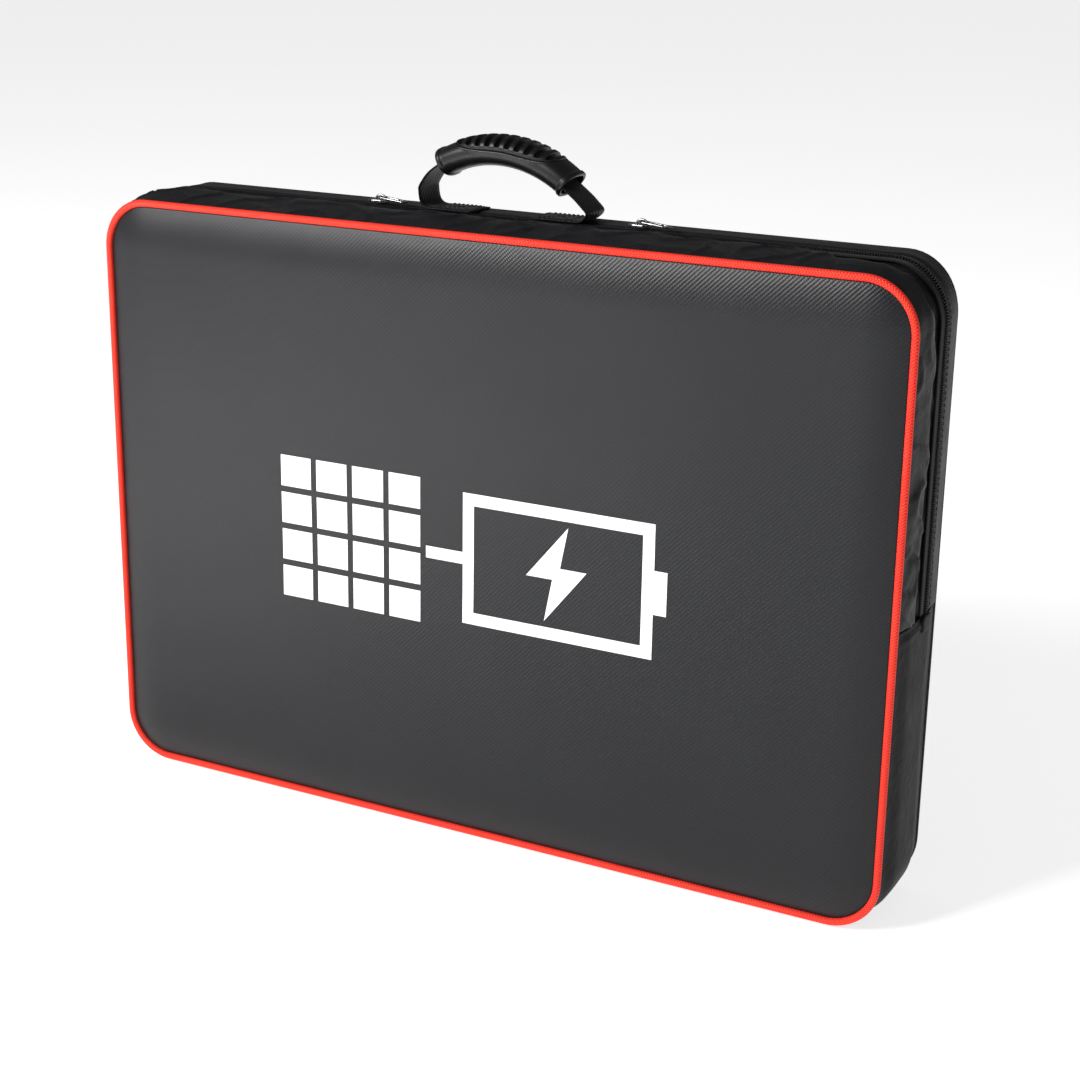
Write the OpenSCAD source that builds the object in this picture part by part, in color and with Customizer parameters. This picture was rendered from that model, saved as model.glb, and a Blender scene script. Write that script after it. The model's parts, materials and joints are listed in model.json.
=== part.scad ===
// Zip-up carrying case with a folded two-leaf solar blanket inside.
// X is the width, -Y the front face, +Z up. The case stands on z = 0.

/* [Case] */
// Width between the centre lines of the upright piping
case_w = 640; // [560:1:720]
// Height between the centre lines of the level piping
case_h = 451; // [430:1:480]
// Depth from the crown of the front face to the back
case_d = 94.8; // [92:0.2:110]
// Radius of the piping at the four corners
corner_r = 36; // [28:1:44]
// How far the padded front face stands proud of the piping
face_crown = 6; // [5:0.5:7]
// How far the gusset bulges outside the piping
bulge = 5; // [4:0.5:7]
// Height of the ends of the zip, where the front cover folds
fold_z = 222; // [200:1:240]
// Thickness of the gusset cloth with its lining
gusset_t = 2; // [1.5:0.5:2.5]
// Radius of the red piping cord
piping_r = 2.7; // [2:0.1:3]

/* [Zip] */
// Distance of the zip behind the piping
zip_d = 55; // [54:0.5:56]
// Width of each zip tape
tape_w = 7; // [6:0.5:8]
// Place of the left slider
slider_left_x = -114; // [-130:1:-112]
// Place of the right slider
slider_right_x = 99; // [96:1:130]
// Length of each pull loop
pull_len = 24; // [18:1:26]

/* [Handle] */
// Width of the handle webbing
web_w = 28; // [25:1:30]
// Width of the webbing where it is sewn down
foot_w = 24; // [20:1:24]
// Place of the handle's middle along the case
handle_x = -9; // [-12:1:0]
// Slope of the resting grip, lower on the right
grip_slope = 5; // [0:1:6]
// Distance of the handle's middle behind the piping
handle_d = 70; // [68:0.5:71]
// Distance between the middles of the two webbing legs
leg_span = 133; // [128:1:146]
// Length of the moulded grip along its chord
grip_len = 109; // [104:1:114]
// Width of the moulded grip
grip_w = 34; // [30:1:34]
// Height of the grip's top above the floor
grip_top = 518; // [512:1:524]

/* [Blanket] */
// Width of each leaf
leaf_w = 592; // [520:1:600]
// Height of each leaf
leaf_h = 380; // [340:1:384]
// Distance of the folded blanket behind the piping
leaf_d = 24; // [22:1:25]
// Columns of cells on each leaf
cell_cols = 6; // [4:1:8]
// Rows of cells on each leaf
cell_rows = 4; // [2:1:6]

/* [Hidden] */
$fn = 48;
gap = 0.3;
pipe_y = -case_d / 2 + face_crown;
back_y = case_d / 2;
pipe_z0 = bulge;
pipe_z1 = bulge + case_h;
outer_x = case_w / 2 + 4;
outer_z = pipe_z1 + 6;
outer_r = corner_r + 4;
// front cover, from the outside in: padded skin, foam board, lining
skin_t = 4;
board_t = 3.2;
lining_t = 1;
front_inner_y = pipe_y - face_crown + skin_t + board_t + lining_t;
face_x = case_w / 2 - piping_r - gap;
face_z0 = pipe_z0 + piping_r + gap;
face_z1 = pipe_z1 - piping_r - gap;
face_r = corner_r - piping_r - gap;
fold_gap = 0.3;
// back cover, from the outside in: skin, foam board, lining
back_skin_y = back_y - 2;
back_board_y = back_skin_y - 3.2;
back_lining_y = back_board_y - 1;
gusset_front_y = pipe_y + piping_r + gap;
// zip, with its two rows of coils meeting at zip_y
zip_y = pipe_y + zip_d;
coil_w = 2.2;
coil_gap = 0.2;
tape_t = 1;
tape_out = 1;
slider_l = 16;
slider_w = 8;
slider_h = 2.4;
slider_z = outer_z + 1.3;
slider_y = zip_y + 0.4 + slider_w / 2;
pivot_z = slider_z + slider_h + 1.7;
pull_w = 7;
pull_t = 1.2;
pull_dip = 6;
// handle
handle_y = pipe_y + handle_d;
web_t = 2;
foot_len = 42;
foot_z = outer_z + 0.1;
leg_z0 = foot_z + web_t + 9.9;
grip_t = 23;
grip_sag = 15.3;
grip_r = (grip_len * grip_len / 4 + grip_sag * grip_sag) / (2 * grip_sag);
// blanket
leaf_z0 = 17;
leaf_z1 = leaf_z0 + leaf_h;
back_t = 1.4;
core_t = 5.6;
cell_t = 0.7;
film_t = 0.6;
leaf_t = back_t + core_t + cell_t + film_t;
leaf_gap = 0.8;
front_leaf_y = pipe_y + leaf_d;
rear_leaf_y = front_leaf_y + 2 * leaf_t + leaf_gap;
hem = 14;
cell_gap = 3;
cell_w = (leaf_w - 2 * hem - 16) / cell_cols;
cell_h = (leaf_h - 2 * hem - 16) / cell_rows;

// Rounded rectangle in X and Z, half width hx, from z0 to z1
module plate_outline(hx, z0, z1, r) {
    translate([-hx, z0 + r]) square([2 * hx, z1 - z0 - 2 * r]);
    translate([-hx + r, z0]) square([2 * hx - 2 * r, z1 - z0]);
    for (x = [-hx + r, hx - r], z = [z0 + r, z1 - r]) translate([x, z]) circle(r);
}

// Extrudes an outline drawn in X and Z from y0 to y1
module along_y(y0, y1) {
    translate([0, y1, 0]) rotate([90, 0, 0]) linear_extrude(y1 - y0) children();
}

module plate(hx, z0, z1, r, y0, y1) {
    along_y(y0, y1) plate_outline(hx, z0, z1, r);
}

// Everything above or below a level, for cutting plates and rings at the fold
module above(z) { translate([-500, -200, z]) cube([1000, 400, 600]); }
module below(z) { translate([-500, -200, z - 600]) cube([1000, 400, 600]); }

// Ring of cloth round the case, whose outside is `drop` inside the gusset's
module ring(y0, y1, t, drop = 0) {
    along_y(y0, y1) difference() {
        plate_outline(outer_x - drop, drop, outer_z - drop, outer_r - drop);
        plate_outline(outer_x - drop - t, drop + t, outer_z - drop - t, outer_r - drop - t);
    }
}

// Front cover between two depths, whole
module face_layer(y0, y1, inset = 0) {
    plate(face_x - inset, face_z0 + inset, face_z1 - inset, face_r - inset, y0, y1);
}

// Piping cord up one side of the case, round both corners and across
module piping(z_bend, z_end, turn) {
    cx = case_w / 2 - corner_r;
    cz = z_bend - turn * corner_r;
    translate([-cx, pipe_y, z_bend]) rotate([0, 90, 0]) cylinder(r = piping_r, h = 2 * cx);
    for (s = [-1, 1]) {
        translate([s * case_w / 2, pipe_y, min(cz, z_end)])
            cylinder(r = piping_r, h = abs(cz - z_end));
        translate([s * cx, pipe_y, cz]) rotate([90, 0, 0])
            rotate([0, 0, turn > 0 ? (s > 0 ? 0 : 90) : (s > 0 ? 270 : 180)])
            rotate_extrude(angle = 90) translate([corner_r, 0]) circle(piping_r);
    }
}

// ---- case: back, bottom and the pocket below the fold ----
module back_panel() color("#1b1c1f")
    plate(outer_x - 2, 2, outer_z - 2, outer_r - 2, back_skin_y, back_y);
module back_board() color("#5a5b5e")
    plate(outer_x - 6, 6, outer_z - 6, outer_r - 6, back_board_y, back_skin_y);
module back_lining() color("#2a2b2e")
    plate(outer_x - 6, 6, outer_z - 6, outer_r - 6, back_lining_y, back_board_y);

module rear_gusset() color("#141416") intersection() {
    ring(zip_y + coil_gap + tape_w, back_skin_y, gusset_t);
    above(fold_z + fold_gap);
}
module lower_gusset() color("#232427") intersection() {
    ring(gusset_front_y, back_skin_y, gusset_t);
    below(fold_z - fold_gap);
}
module pocket_panel() color("#37383b") intersection() {
    face_layer(-case_d / 2, -case_d / 2 + skin_t);
    below(fold_z - fold_gap);
}
module pocket_board() color("#5a5b5e") intersection() {
    face_layer(-case_d / 2 + skin_t, -case_d / 2 + skin_t + board_t, 2);
    below(fold_z - fold_gap);
}
module pocket_lining() color("#2a2b2e") intersection() {
    face_layer(front_inner_y - lining_t, front_inner_y, 2);
    below(fold_z - fold_gap);
}
module pocket_piping() color("#f03a2c") piping(pipe_z0, fold_z - fold_gap, -1);

module rear_zip_tape() color("#0f0f10") intersection() {
    ring(zip_y + coil_gap, zip_y + coil_gap + tape_w, tape_t, tape_out);
    above(fold_z + fold_gap);
}
module rear_zip_coil() color("#09090a") intersection() {
    ring(zip_y + coil_gap, zip_y + coil_gap + coil_w, 2, -1);
    above(fold_z + fold_gap);
}
// Cloth tabs that close each end of the zip, in one group
module zip_end_tabs() color("#1b1c1f") for (s = [-1, 1])
    translate([s * (outer_x + 0.7) - 0.6, zip_y - 9, fold_z - 16]) cube([1.2, 18, 15.6]);

module base_board() color("#5a5b5e")
    translate([-outer_x + outer_r, gusset_front_y + 3, gusset_t])
    cube([2 * (outer_x - outer_r), back_lining_y - gusset_front_y - 4, 3]);
module base_pad() color("#3c3d40")
    translate([-outer_x + outer_r, gusset_front_y + 3, gusset_t + 3])
    cube([2 * (outer_x - outer_r), back_lining_y - gusset_front_y - 4, 10]);

// Sewn-down ends of the handle webbing, in one group
module handle_feet() color("#0c0c0d") for (s = [-1, 1])
    translate([handle_x + (s > 0 ? leg_span / 2 - foot_len : -leg_span / 2), handle_y - foot_w / 2, foot_z])
    cube([foot_len, foot_w, web_t]);

// ---- flap: the upper front cover, its gusset and its side of the zip ----
module flap_panel() color("#37383b") intersection() {
    face_layer(-case_d / 2, -case_d / 2 + skin_t);
    above(fold_z + fold_gap);
}
module flap_board() color("#5a5b5e") intersection() {
    face_layer(-case_d / 2 + skin_t, -case_d / 2 + skin_t + board_t, 2);
    above(fold_z + fold_gap);
}
module flap_lining() color("#2a2b2e") intersection() {
    face_layer(front_inner_y - lining_t, front_inner_y, 2);
    above(fold_z + fold_gap);
}
module flap_piping() color("#f03a2c") piping(pipe_z1, fold_z + fold_gap, 1);
module front_gusset() color("#2b2c30") intersection() {
    ring(gusset_front_y, zip_y - coil_gap - tape_w, gusset_t);
    above(fold_z + fold_gap);
}
module front_zip_tape() color("#0f0f10") intersection() {
    ring(zip_y - coil_gap - tape_w, zip_y - coil_gap, tape_t, tape_out);
    above(fold_z + fold_gap);
}
module front_zip_coil() color("#09090a") intersection() {
    ring(zip_y - coil_gap - coil_w, zip_y - coil_gap, 2, -1);
    above(fold_z + fold_gap);
}

// ---- zip sliders and pulls ----
module slider(x) translate([x, slider_y, slider_z]) {
    translate([-slider_l / 2, -slider_w / 2, 0]) cube([slider_l, slider_w, slider_h]);
    translate([-2.5, -1, slider_h]) difference() {
        cube([9, 2, 3.6]);
        translate([1.6, -1, 0.6]) cube([5.8, 4, 2.2]);
    }
}
// Loop of wire that swings on the slider's bridge
module pull(x, rise) translate([x + 2, slider_y, pivot_z]) rotate([0, -rise, 0]) {
    difference() {
        translate([-1.3, -pull_w / 2, -pull_t / 2]) cube([pull_len, pull_w, pull_t]);
        translate([0.7, -pull_w / 2 + 1.7, -pull_t]) cube([pull_len - 4, pull_w - 3.4, 2 * pull_t]);
        translate([-2, -pull_w / 2 + 1.7, -pull_t]) cube([2, pull_w - 3.4, 2 * pull_t]);
    }
    translate([0, -pull_w / 2 + 1, 0]) rotate([-90, 0, 0]) cylinder(r = 0.6, h = pull_w - 2);
}
module slider_left() color("#b9bbbe") slider(slider_left_x);
module slider_right() color("#b9bbbe") slider(slider_right_x);
module pull_left() color("#b9bbbe") pull(slider_left_x, -pull_dip);
module pull_right() color("#b9bbbe") pull(slider_right_x, -pull_dip);

// ---- handle ----
// Part of a flat ring in X and Z that arches over the fingers, to an angle each side of its top
module arch(r_in, r_out, angle, w) intersection() {
    along_y(handle_y - w / 2, handle_y + w / 2) difference() {
        circle(r_out, $fn = 180);
        circle(r_in, $fn = 180);
    }
    along_y(handle_y - w, handle_y + w)
        polygon([[0, 0], [200 * sin(angle), 200 * cos(angle)], [-200 * sin(angle), 200 * cos(angle)]]);
}
// Puts a piece made round the arch's middle in its resting place
grip_mid_r = grip_r - grip_t / 2;
module handle_place() translate([handle_x, 0, grip_top - grip_t / 2]) rotate([0, grip_slope, 0])
    translate([0, 0, -grip_mid_r]) children();
grip_angle = asin(grip_len / 2 / grip_r);
leg_angle = asin(leg_span / 2 / grip_mid_r);
module handle_grip() color("#18191b") handle_place() difference() {
    arch(grip_r - grip_t, grip_r - 1.5, grip_angle, grip_w);
    arch(grip_mid_r - 1.3, grip_mid_r + 1.3, grip_angle + 5, web_w + 1);
    arch(grip_r - 4, grip_r, 23, 24);
}
// Ribbed pad let into the top of the grip
module grip_insert() color("#101112") handle_place() {
    arch(grip_r - 3.9, grip_r - 2.4, 22.8, 23.6);
    for (i = [-4 : 4]) rotate([0, i * 4.9, 0]) intersection() {
        translate([-2.2, handle_y - 10, 0]) cube([4.4, 20, grip_r + 5]);
        arch(grip_r - 2.4, grip_r, 10, 23.6);
    }
}
// Webbing through the grip and down to the two feet, one strap
module handle_legs() color("#0c0c0d") intersection() {
    union() {
        handle_place() arch(grip_mid_r - 1, grip_mid_r + 1, leg_angle, web_w);
        translate([handle_x - leg_span / 2 - web_t / 2, handle_y - web_w / 2, leg_z0])
            cube([web_t, web_w, 8]);
    }
    translate([-200, -200, leg_z0]) cube([400, 400, 100]);
}

// ---- blanket ----
module leaf_box(y0, y1, inset) translate([-leaf_w / 2 + inset, min(y0, y1), leaf_z0 + inset])
    cube([leaf_w - 2 * inset, abs(y1 - y0), leaf_h - 2 * inset]);
// One leaf, from its outer cloth at y towards its sunny side; dir is +1 or -1
module leaf_backing(y, dir) leaf_box(y, y + dir * back_t, 0);
module leaf_core(y, dir) leaf_box(y + dir * back_t, y + dir * (back_t + core_t), hem);
module leaf_hem(y, dir) difference() {
    leaf_box(y + dir * back_t, y + dir * leaf_t, 0);
    leaf_box(y, y + dir * (leaf_t + 1), hem);
    eyelet_holes();
}
module leaf_cells(y, dir) for (i = [0 : cell_cols - 1], j = [0 : cell_rows - 1])
    translate([-leaf_w / 2 + hem + 8 + i * cell_w + cell_gap / 2,
        min(y + dir * (back_t + core_t), y + dir * (back_t + core_t + cell_t)),
        leaf_z0 + hem + 8 + j * cell_h + cell_gap / 2])
    cube([cell_w - cell_gap, cell_t, cell_h - cell_gap]);
module leaf_film(y, dir)
    leaf_box(y + dir * (leaf_t - film_t), y + dir * leaf_t, hem);
module eyelet_places() for (x = [-1, 1], z = [leaf_z0 + 7, leaf_z1 - 7])
    translate([x * (leaf_w / 2 - 30), 0, z]) rotate([-90, 0, 0]) children();
module eyelet_holes() eyelet_places() translate([0, 0, -200]) cylinder(r = 4, h = 400);
module leaf_eyelets(y, dir) translate([0, min(y + dir * back_t, y + dir * leaf_t), 0])
    eyelet_places() difference() {
        cylinder(r = 4, h = leaf_t - back_t);
        translate([0, 0, -1]) cylinder(r = 2.5, h = leaf_t + 2);
    }

module rear_leaf_backing() color("#26282b") difference() {
    leaf_backing(rear_leaf_y, -1);
    eyelet_holes();
}
module rear_leaf_core() color("#8a8b8d") leaf_core(rear_leaf_y, -1);
module rear_leaf_cells() color("#101a33") leaf_cells(rear_leaf_y, -1);
module rear_leaf_film() color("#1a2740") leaf_film(rear_leaf_y, -1);
module rear_leaf_hem() color("#1c1d20") leaf_hem(rear_leaf_y, -1);
module rear_leaf_eyelets() color("#b9bbbe") leaf_eyelets(rear_leaf_y, -1);
module front_leaf_backing() color("#26282b") difference() {
    leaf_backing(front_leaf_y, 1);
    eyelet_holes();
}
module front_leaf_core() color("#8a8b8d") leaf_core(front_leaf_y, 1);
module front_leaf_cells() color("#101a33") leaf_cells(front_leaf_y, 1);
module front_leaf_film() color("#1a2740") leaf_film(front_leaf_y, 1);
module front_leaf_hem() color("#1c1d20") leaf_hem(front_leaf_y, 1);
module front_leaf_eyelets() color("#b9bbbe") leaf_eyelets(front_leaf_y, 1);

box_x = 190;
box_z = 70;
module junction_box() color("#111214") difference() {
    translate([box_x - 40, rear_leaf_y, box_z]) cube([80, 6.6, 46]);
    translate([box_x - 37, rear_leaf_y + 1.6, box_z + 3]) cube([74, 6, 40]);
    translate([box_x - 45, rear_leaf_y + 4, box_z + 23]) rotate([0, 90, 0]) cylinder(r = 1.8, h = 10);
}
module junction_lid() color("#1a1b1d")
    translate([box_x - 40, rear_leaf_y + 6.6, box_z]) cube([80, 1.6, 46]);
module outlet_gland() color("#0c0c0d")
    translate([box_x - 52, rear_leaf_y + 4, box_z + 23]) rotate([0, 90, 0]) difference() {
        union() {
            cylinder(r = 3.6, h = 12);
            cylinder(r = 1.8, h = 15);
        }
        translate([0, 0, -1]) cylinder(r = 1.2, h = 20);
    }
// Cloth that joins the two leaves along their lower edges
module fold_spine() color("#1c1d20")
    translate([-leaf_w / 2 + 10, rear_leaf_y - leaf_t, leaf_z0 - 1.6]) cube([leaf_w - 20, leaf_t, 1.6]);
back_panel();
back_board();
back_lining();
rear_gusset();
lower_gusset();
pocket_panel();
pocket_board();
pocket_lining();
pocket_piping();
rear_zip_tape();
rear_zip_coil();
zip_end_tabs();
base_board();
base_pad();
handle_feet();
flap_panel();
flap_board();
flap_lining();
flap_piping();
front_gusset();
front_zip_tape();
front_zip_coil();
slider_left();
slider_right();
pull_left();
pull_right();
handle_grip();
grip_insert();
handle_legs();
rear_leaf_backing();
rear_leaf_core();
rear_leaf_cells();
rear_leaf_film();
rear_leaf_hem();
rear_leaf_eyelets();
junction_box();
junction_lid();
outlet_gland();
fold_spine();
front_leaf_backing();
front_leaf_core();
front_leaf_cells();
front_leaf_film();
front_leaf_hem();
front_leaf_eyelets();
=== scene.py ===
"""Looks for the zip-up carrying case and the folded solar blanket inside it. Metres, in the CAD's frame."""
import json
import math

import bmesh
import bpy
import numpy as np
from mathutils import Matrix, Vector, noise


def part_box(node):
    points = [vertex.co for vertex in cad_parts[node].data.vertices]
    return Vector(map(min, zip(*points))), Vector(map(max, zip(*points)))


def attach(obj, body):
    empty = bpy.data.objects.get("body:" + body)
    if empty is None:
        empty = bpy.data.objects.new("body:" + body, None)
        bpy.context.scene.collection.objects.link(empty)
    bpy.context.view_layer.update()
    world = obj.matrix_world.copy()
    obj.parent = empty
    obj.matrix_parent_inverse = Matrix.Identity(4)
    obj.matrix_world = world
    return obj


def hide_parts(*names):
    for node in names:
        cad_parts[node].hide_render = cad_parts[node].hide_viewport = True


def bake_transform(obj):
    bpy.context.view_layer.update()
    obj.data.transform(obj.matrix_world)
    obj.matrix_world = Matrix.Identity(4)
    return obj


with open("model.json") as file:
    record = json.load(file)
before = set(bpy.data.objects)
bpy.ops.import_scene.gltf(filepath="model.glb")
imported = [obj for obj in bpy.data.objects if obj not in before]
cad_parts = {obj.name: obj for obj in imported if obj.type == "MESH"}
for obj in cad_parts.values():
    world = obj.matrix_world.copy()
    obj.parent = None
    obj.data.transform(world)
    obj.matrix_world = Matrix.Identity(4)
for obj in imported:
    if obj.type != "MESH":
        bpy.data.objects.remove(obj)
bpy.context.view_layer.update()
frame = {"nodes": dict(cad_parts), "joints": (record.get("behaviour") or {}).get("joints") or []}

# ---------------------------------------------------------------- sizes read from the CAD
MM = 0.001
joint_at = {j["name"]: j.get("pos_m") for j in frame["joints"]}
pocket_pipe, flap_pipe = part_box("pocket_piping"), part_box("flap_piping")
PIPE_R = (pocket_pipe[1].y - pocket_pipe[0].y) / 2
PIPE_Y = (pocket_pipe[1].y + pocket_pipe[0].y) / 2
HALF_W = pocket_pipe[1].x - PIPE_R
Z0 = pocket_pipe[0].z + PIPE_R
Z1 = flap_pipe[1].z - PIPE_R
CORNER = 36 * MM
FOLD_Y, FOLD_Z = joint_at["flap_fold"][1:]
FACE_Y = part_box("flap_panel")[0].y
BACK_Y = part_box("back_panel")[1].y
TAPE_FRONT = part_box("front_zip_tape")
TAPE_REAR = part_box("rear_zip_tape")
ZIP_Y = (TAPE_FRONT[1].y + TAPE_REAR[0].y) / 2
CLOTH_T = 1.2 * MM
FLOOR_CLEAR = 0.2 * MM
FOLD_ROWS = [FOLD_Z + k * 1.5 * MM for k in range(-12, 13)]


# ---------------------------------------------------------------- mesh making
def placed(name, data):
    """An object for some data, linked into the scene."""
    made = bpy.data.objects.new(name, data)
    bpy.context.scene.collection.objects.link(made)
    return made


def from_bmesh(name, bm):
    mesh = bpy.data.meshes.new(name)
    bm.to_mesh(mesh)
    bm.free()
    return placed(name, mesh)


def grids(rows, columns):
    """Empty grids for a shell: outer points, inner points and UVs."""
    return np.zeros((rows, columns, 3)), np.zeros((rows, columns, 3)), np.zeros((rows, columns, 2))


def run_along(points):
    """The length from the first point to each one."""
    return np.concatenate([[0], np.cumsum(np.linalg.norm(np.diff(points, axis=0), axis=1))])


def new_mesh(name, verts, faces, corner_uvs=None, smooth=True):
    mesh = bpy.data.meshes.new(name)
    mesh.from_pydata([tuple(v) for v in verts], [], faces)
    if corner_uvs is not None:
        layer = mesh.uv_layers.new(name="UVMap")
        layer.data.foreach_set("uv", np.asarray(corner_uvs, np.float32).ravel())
    if smooth:
        mesh.polygons.foreach_set("use_smooth", np.ones(len(mesh.polygons), bool))
    bm = bmesh.new()
    bm.from_mesh(mesh)
    bmesh.ops.recalc_face_normals(bm, faces=bm.faces)
    bm.to_mesh(mesh)
    bm.free()
    return placed(name, mesh)


def shell(name, outer, inner, uv):
    """A closed sheet between two grids of points, with one UV for each place on the grid."""
    n, m = outer.shape[:2]
    second = n * m
    at = np.arange(second).reshape(n, m)
    faces = []
    for i in range(n - 1):
        for j in range(m - 1):
            a, b, c, d = at[i, j], at[i + 1, j], at[i + 1, j + 1], at[i, j + 1]
            faces += [(a, b, c, d), (d + second, c + second, b + second, a + second)]
    rim = list(at[:, 0]) + list(at[-1, 1:]) + list(at[-2::-1, -1]) + list(at[0, -2:0:-1])
    for a, b in zip(rim, rim[1:] + rim[:1]):
        faces.append((b, a, a + second, b + second))
    verts = np.concatenate([outer.reshape(-1, 3), inner.reshape(-1, 3)])
    flat = np.concatenate([uv.reshape(-1, 2)] * 2)
    return new_mesh(name, verts, faces, [flat[v] for f in faces for v in f])


def sweep(name, path, section, closed=False):
    """Sweeps a closed section of (out, along Y) points along a path of (point, outward normal)."""
    points, normals = path
    n, m = len(points), len(section)
    y_axis = np.array([0, 1, 0])
    verts = [p + a * q + b * y_axis for p, q in zip(points, normals) for a, b in section]
    run, girth = run_along(points), run_along(np.array(section + section[:1]))
    faces, uvs = [], []
    for i in range(n if closed else n - 1):
        k = (i + 1) % n
        end = run[i] + np.linalg.norm(points[k] - points[i])
        for j in range(m):
            j2 = (j + 1) % m
            faces.append((i * m + j, k * m + j, k * m + j2, i * m + j2))
            uvs += [(run[i], girth[j]), (end, girth[j]), (end, girth[j + 1]), (run[i], girth[j + 1])]
    if not closed:
        for first in (0, (n - 1) * m):
            faces.append(tuple(range(first, first + m)))
            uvs += [(0, 0)] * m
    return new_mesh(name, verts, faces, uvs)


def circle(radius, sides=14):
    steps = [2 * math.pi * i / sides for i in range(sides)]
    return [(radius * math.cos(a), radius * math.sin(a)) for a in steps]


def rounded_section(out_lo, out_hi, y_lo, y_hi, radius, steps=3):
    """A rectangle with round corners, as section points."""
    points = []
    for cx, cy, start in ((out_hi, y_hi, 0), (out_lo, y_hi, 90), (out_lo, y_lo, 180), (out_hi, y_lo, 270)):
        ox = cx - math.copysign(radius, cx - (out_lo + out_hi) / 2)
        oy = cy - math.copysign(radius, cy - (y_lo + y_hi) / 2)
        for k in range(steps + 1):
            a = math.radians(start + 90 * k / steps)
            points.append((ox + radius * math.cos(a), oy + radius * math.sin(a)))
    return points


def wire(name, points, radius, sides=8, closed=False):
    """A round wire along any line of points."""
    curve = bpy.data.curves.new(name, "CURVE")
    curve.dimensions = "3D"
    curve.bevel_depth, curve.bevel_resolution = radius, sides // 2 - 2
    curve.use_fill_caps = True
    spline = curve.splines.new("POLY")
    spline.points.add(len(points) - 1)
    for spot, p in zip(spline.points, points):
        spot.co = (*p, 1)
    spline.use_cyclic_u = closed
    made = placed(name, curve)
    mesh = bpy.data.meshes.new_from_object(made)
    bpy.data.objects.remove(made)
    mesh.polygons.foreach_set("use_smooth", np.ones(len(mesh.polygons), bool))
    return placed(name, mesh)


def bevelled(name, outline, z_lo, z_hi, radius, at=(0, 0, 0)):
    """An outline in X and Y, made solid between two levels, with rounded edges."""
    bm = bmesh.new()
    base = bm.faces.new([bm.verts.new((x, y, z_lo)) for x, y in outline])
    top = bmesh.ops.extrude_face_region(bm, geom=[base])["geom"]
    lifted = [v for v in top if isinstance(v, bmesh.types.BMVert)]
    bmesh.ops.translate(bm, verts=lifted, vec=(0, 0, z_hi - z_lo))
    bmesh.ops.recalc_face_normals(bm, faces=bm.faces)
    bmesh.ops.bevel(bm, geom=bm.edges[:], offset=radius, segments=3, affect="EDGES", profile=0.5)
    bmesh.ops.translate(bm, verts=bm.verts, vec=at)
    return from_bmesh(name, bm)


def joined(name, pieces):
    """Several meshes made into one."""
    bm = bmesh.new()
    for p in pieces:
        bm.from_mesh(p.data)
        bpy.data.objects.remove(p)
    return from_bmesh(name, bm)


def soften(piece, width, segments=2):
    """Rounds the edges of a piece that keeps its CAD mesh."""
    mod = piece.modifiers.new("soften", "BEVEL")
    mod.width, mod.segments, mod.limit_method = width, segments, "ANGLE"


# ---------------------------------------------------------------- the seam path round the case
def seam_path(part, step=2.5 * MM):
    """Points and outward normals along the front seam: the upper part, the lower part or the whole loop."""
    cx, top, low = HALF_W - CORNER, Z1 - CORNER, Z0 + CORNER
    lines = []

    def line(x0, z0, x1, z1, nx, nz):
        count = max(2, round(math.hypot(x1 - x0, z1 - z0) / step))
        for k in range(count):
            t = k / count
            lines.append((x0 + (x1 - x0) * t, z0 + (z1 - z0) * t, nx, nz))

    def bend(x, z, start, end):
        count = max(4, round(abs(math.radians(end - start)) * CORNER / step))
        for k in range(count):
            a = math.radians(start + (end - start) * k / count)
            lines.append((x + CORNER * math.cos(a), z + CORNER * math.sin(a), math.cos(a), math.sin(a)))

    if part in ("upper", "loop"):
        line(-HALF_W, FOLD_Z, -HALF_W, top, -1, 0)
        bend(-cx, top, 180, 90)
        line(-cx, Z1, cx, Z1, 0, 1)
        bend(cx, top, 90, 0)
        line(HALF_W, top, HALF_W, FOLD_Z, 1, 0)
    if part in ("lower", "loop"):
        line(HALF_W, FOLD_Z, HALF_W, low, 1, 0)
        bend(cx, low, 0, -90)
        line(cx, Z0, -cx, Z0, 0, -1)
        bend(-cx, low, -90, -180)
        line(-HALF_W, low, -HALF_W, FOLD_Z, -1, 0)
    if part != "loop":
        s = -1 if part == "upper" else 1
        lines.append((-s * HALF_W, FOLD_Z, -s, 0))
    rows = np.array(lines)
    zero = np.zeros(len(rows))
    return (np.stack([rows[:, 0], zero, rows[:, 1]], 1), np.stack([rows[:, 2], zero, rows[:, 3]], 1))


def at_y(path, y, out=0.0):
    """The path moved to a depth, and outwards."""
    points, normals = path
    return points + normals * out + np.array([0, y, 0]), normals


def trimmed(path, z_gap):
    """Keeps a half path a little clear of the fold."""
    points, normals = path
    sign = 1 if points[len(points) // 2][2] > FOLD_Z else -1
    points = points.copy()
    limit = FOLD_Z + sign * z_gap
    points[:, 2] = np.maximum(points[:, 2], limit) if sign > 0 else np.minimum(points[:, 2], limit)
    return points, normals


def smooth01(t):
    t = min(1.0, max(0.0, t))
    return t * t * (3 - 2 * t)


def ramp_at(stops, t):
    """Smooth value between (place, value) stops."""
    for (t0, v0), (t1, v1) in zip(stops, stops[1:]):
        if t <= t1:
            return v0 + (v1 - v0) * smooth01((t - t0) / (t1 - t0))
    return stops[-1][1]


def rough01(*place):
    return noise.noise(Vector(place))


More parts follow.
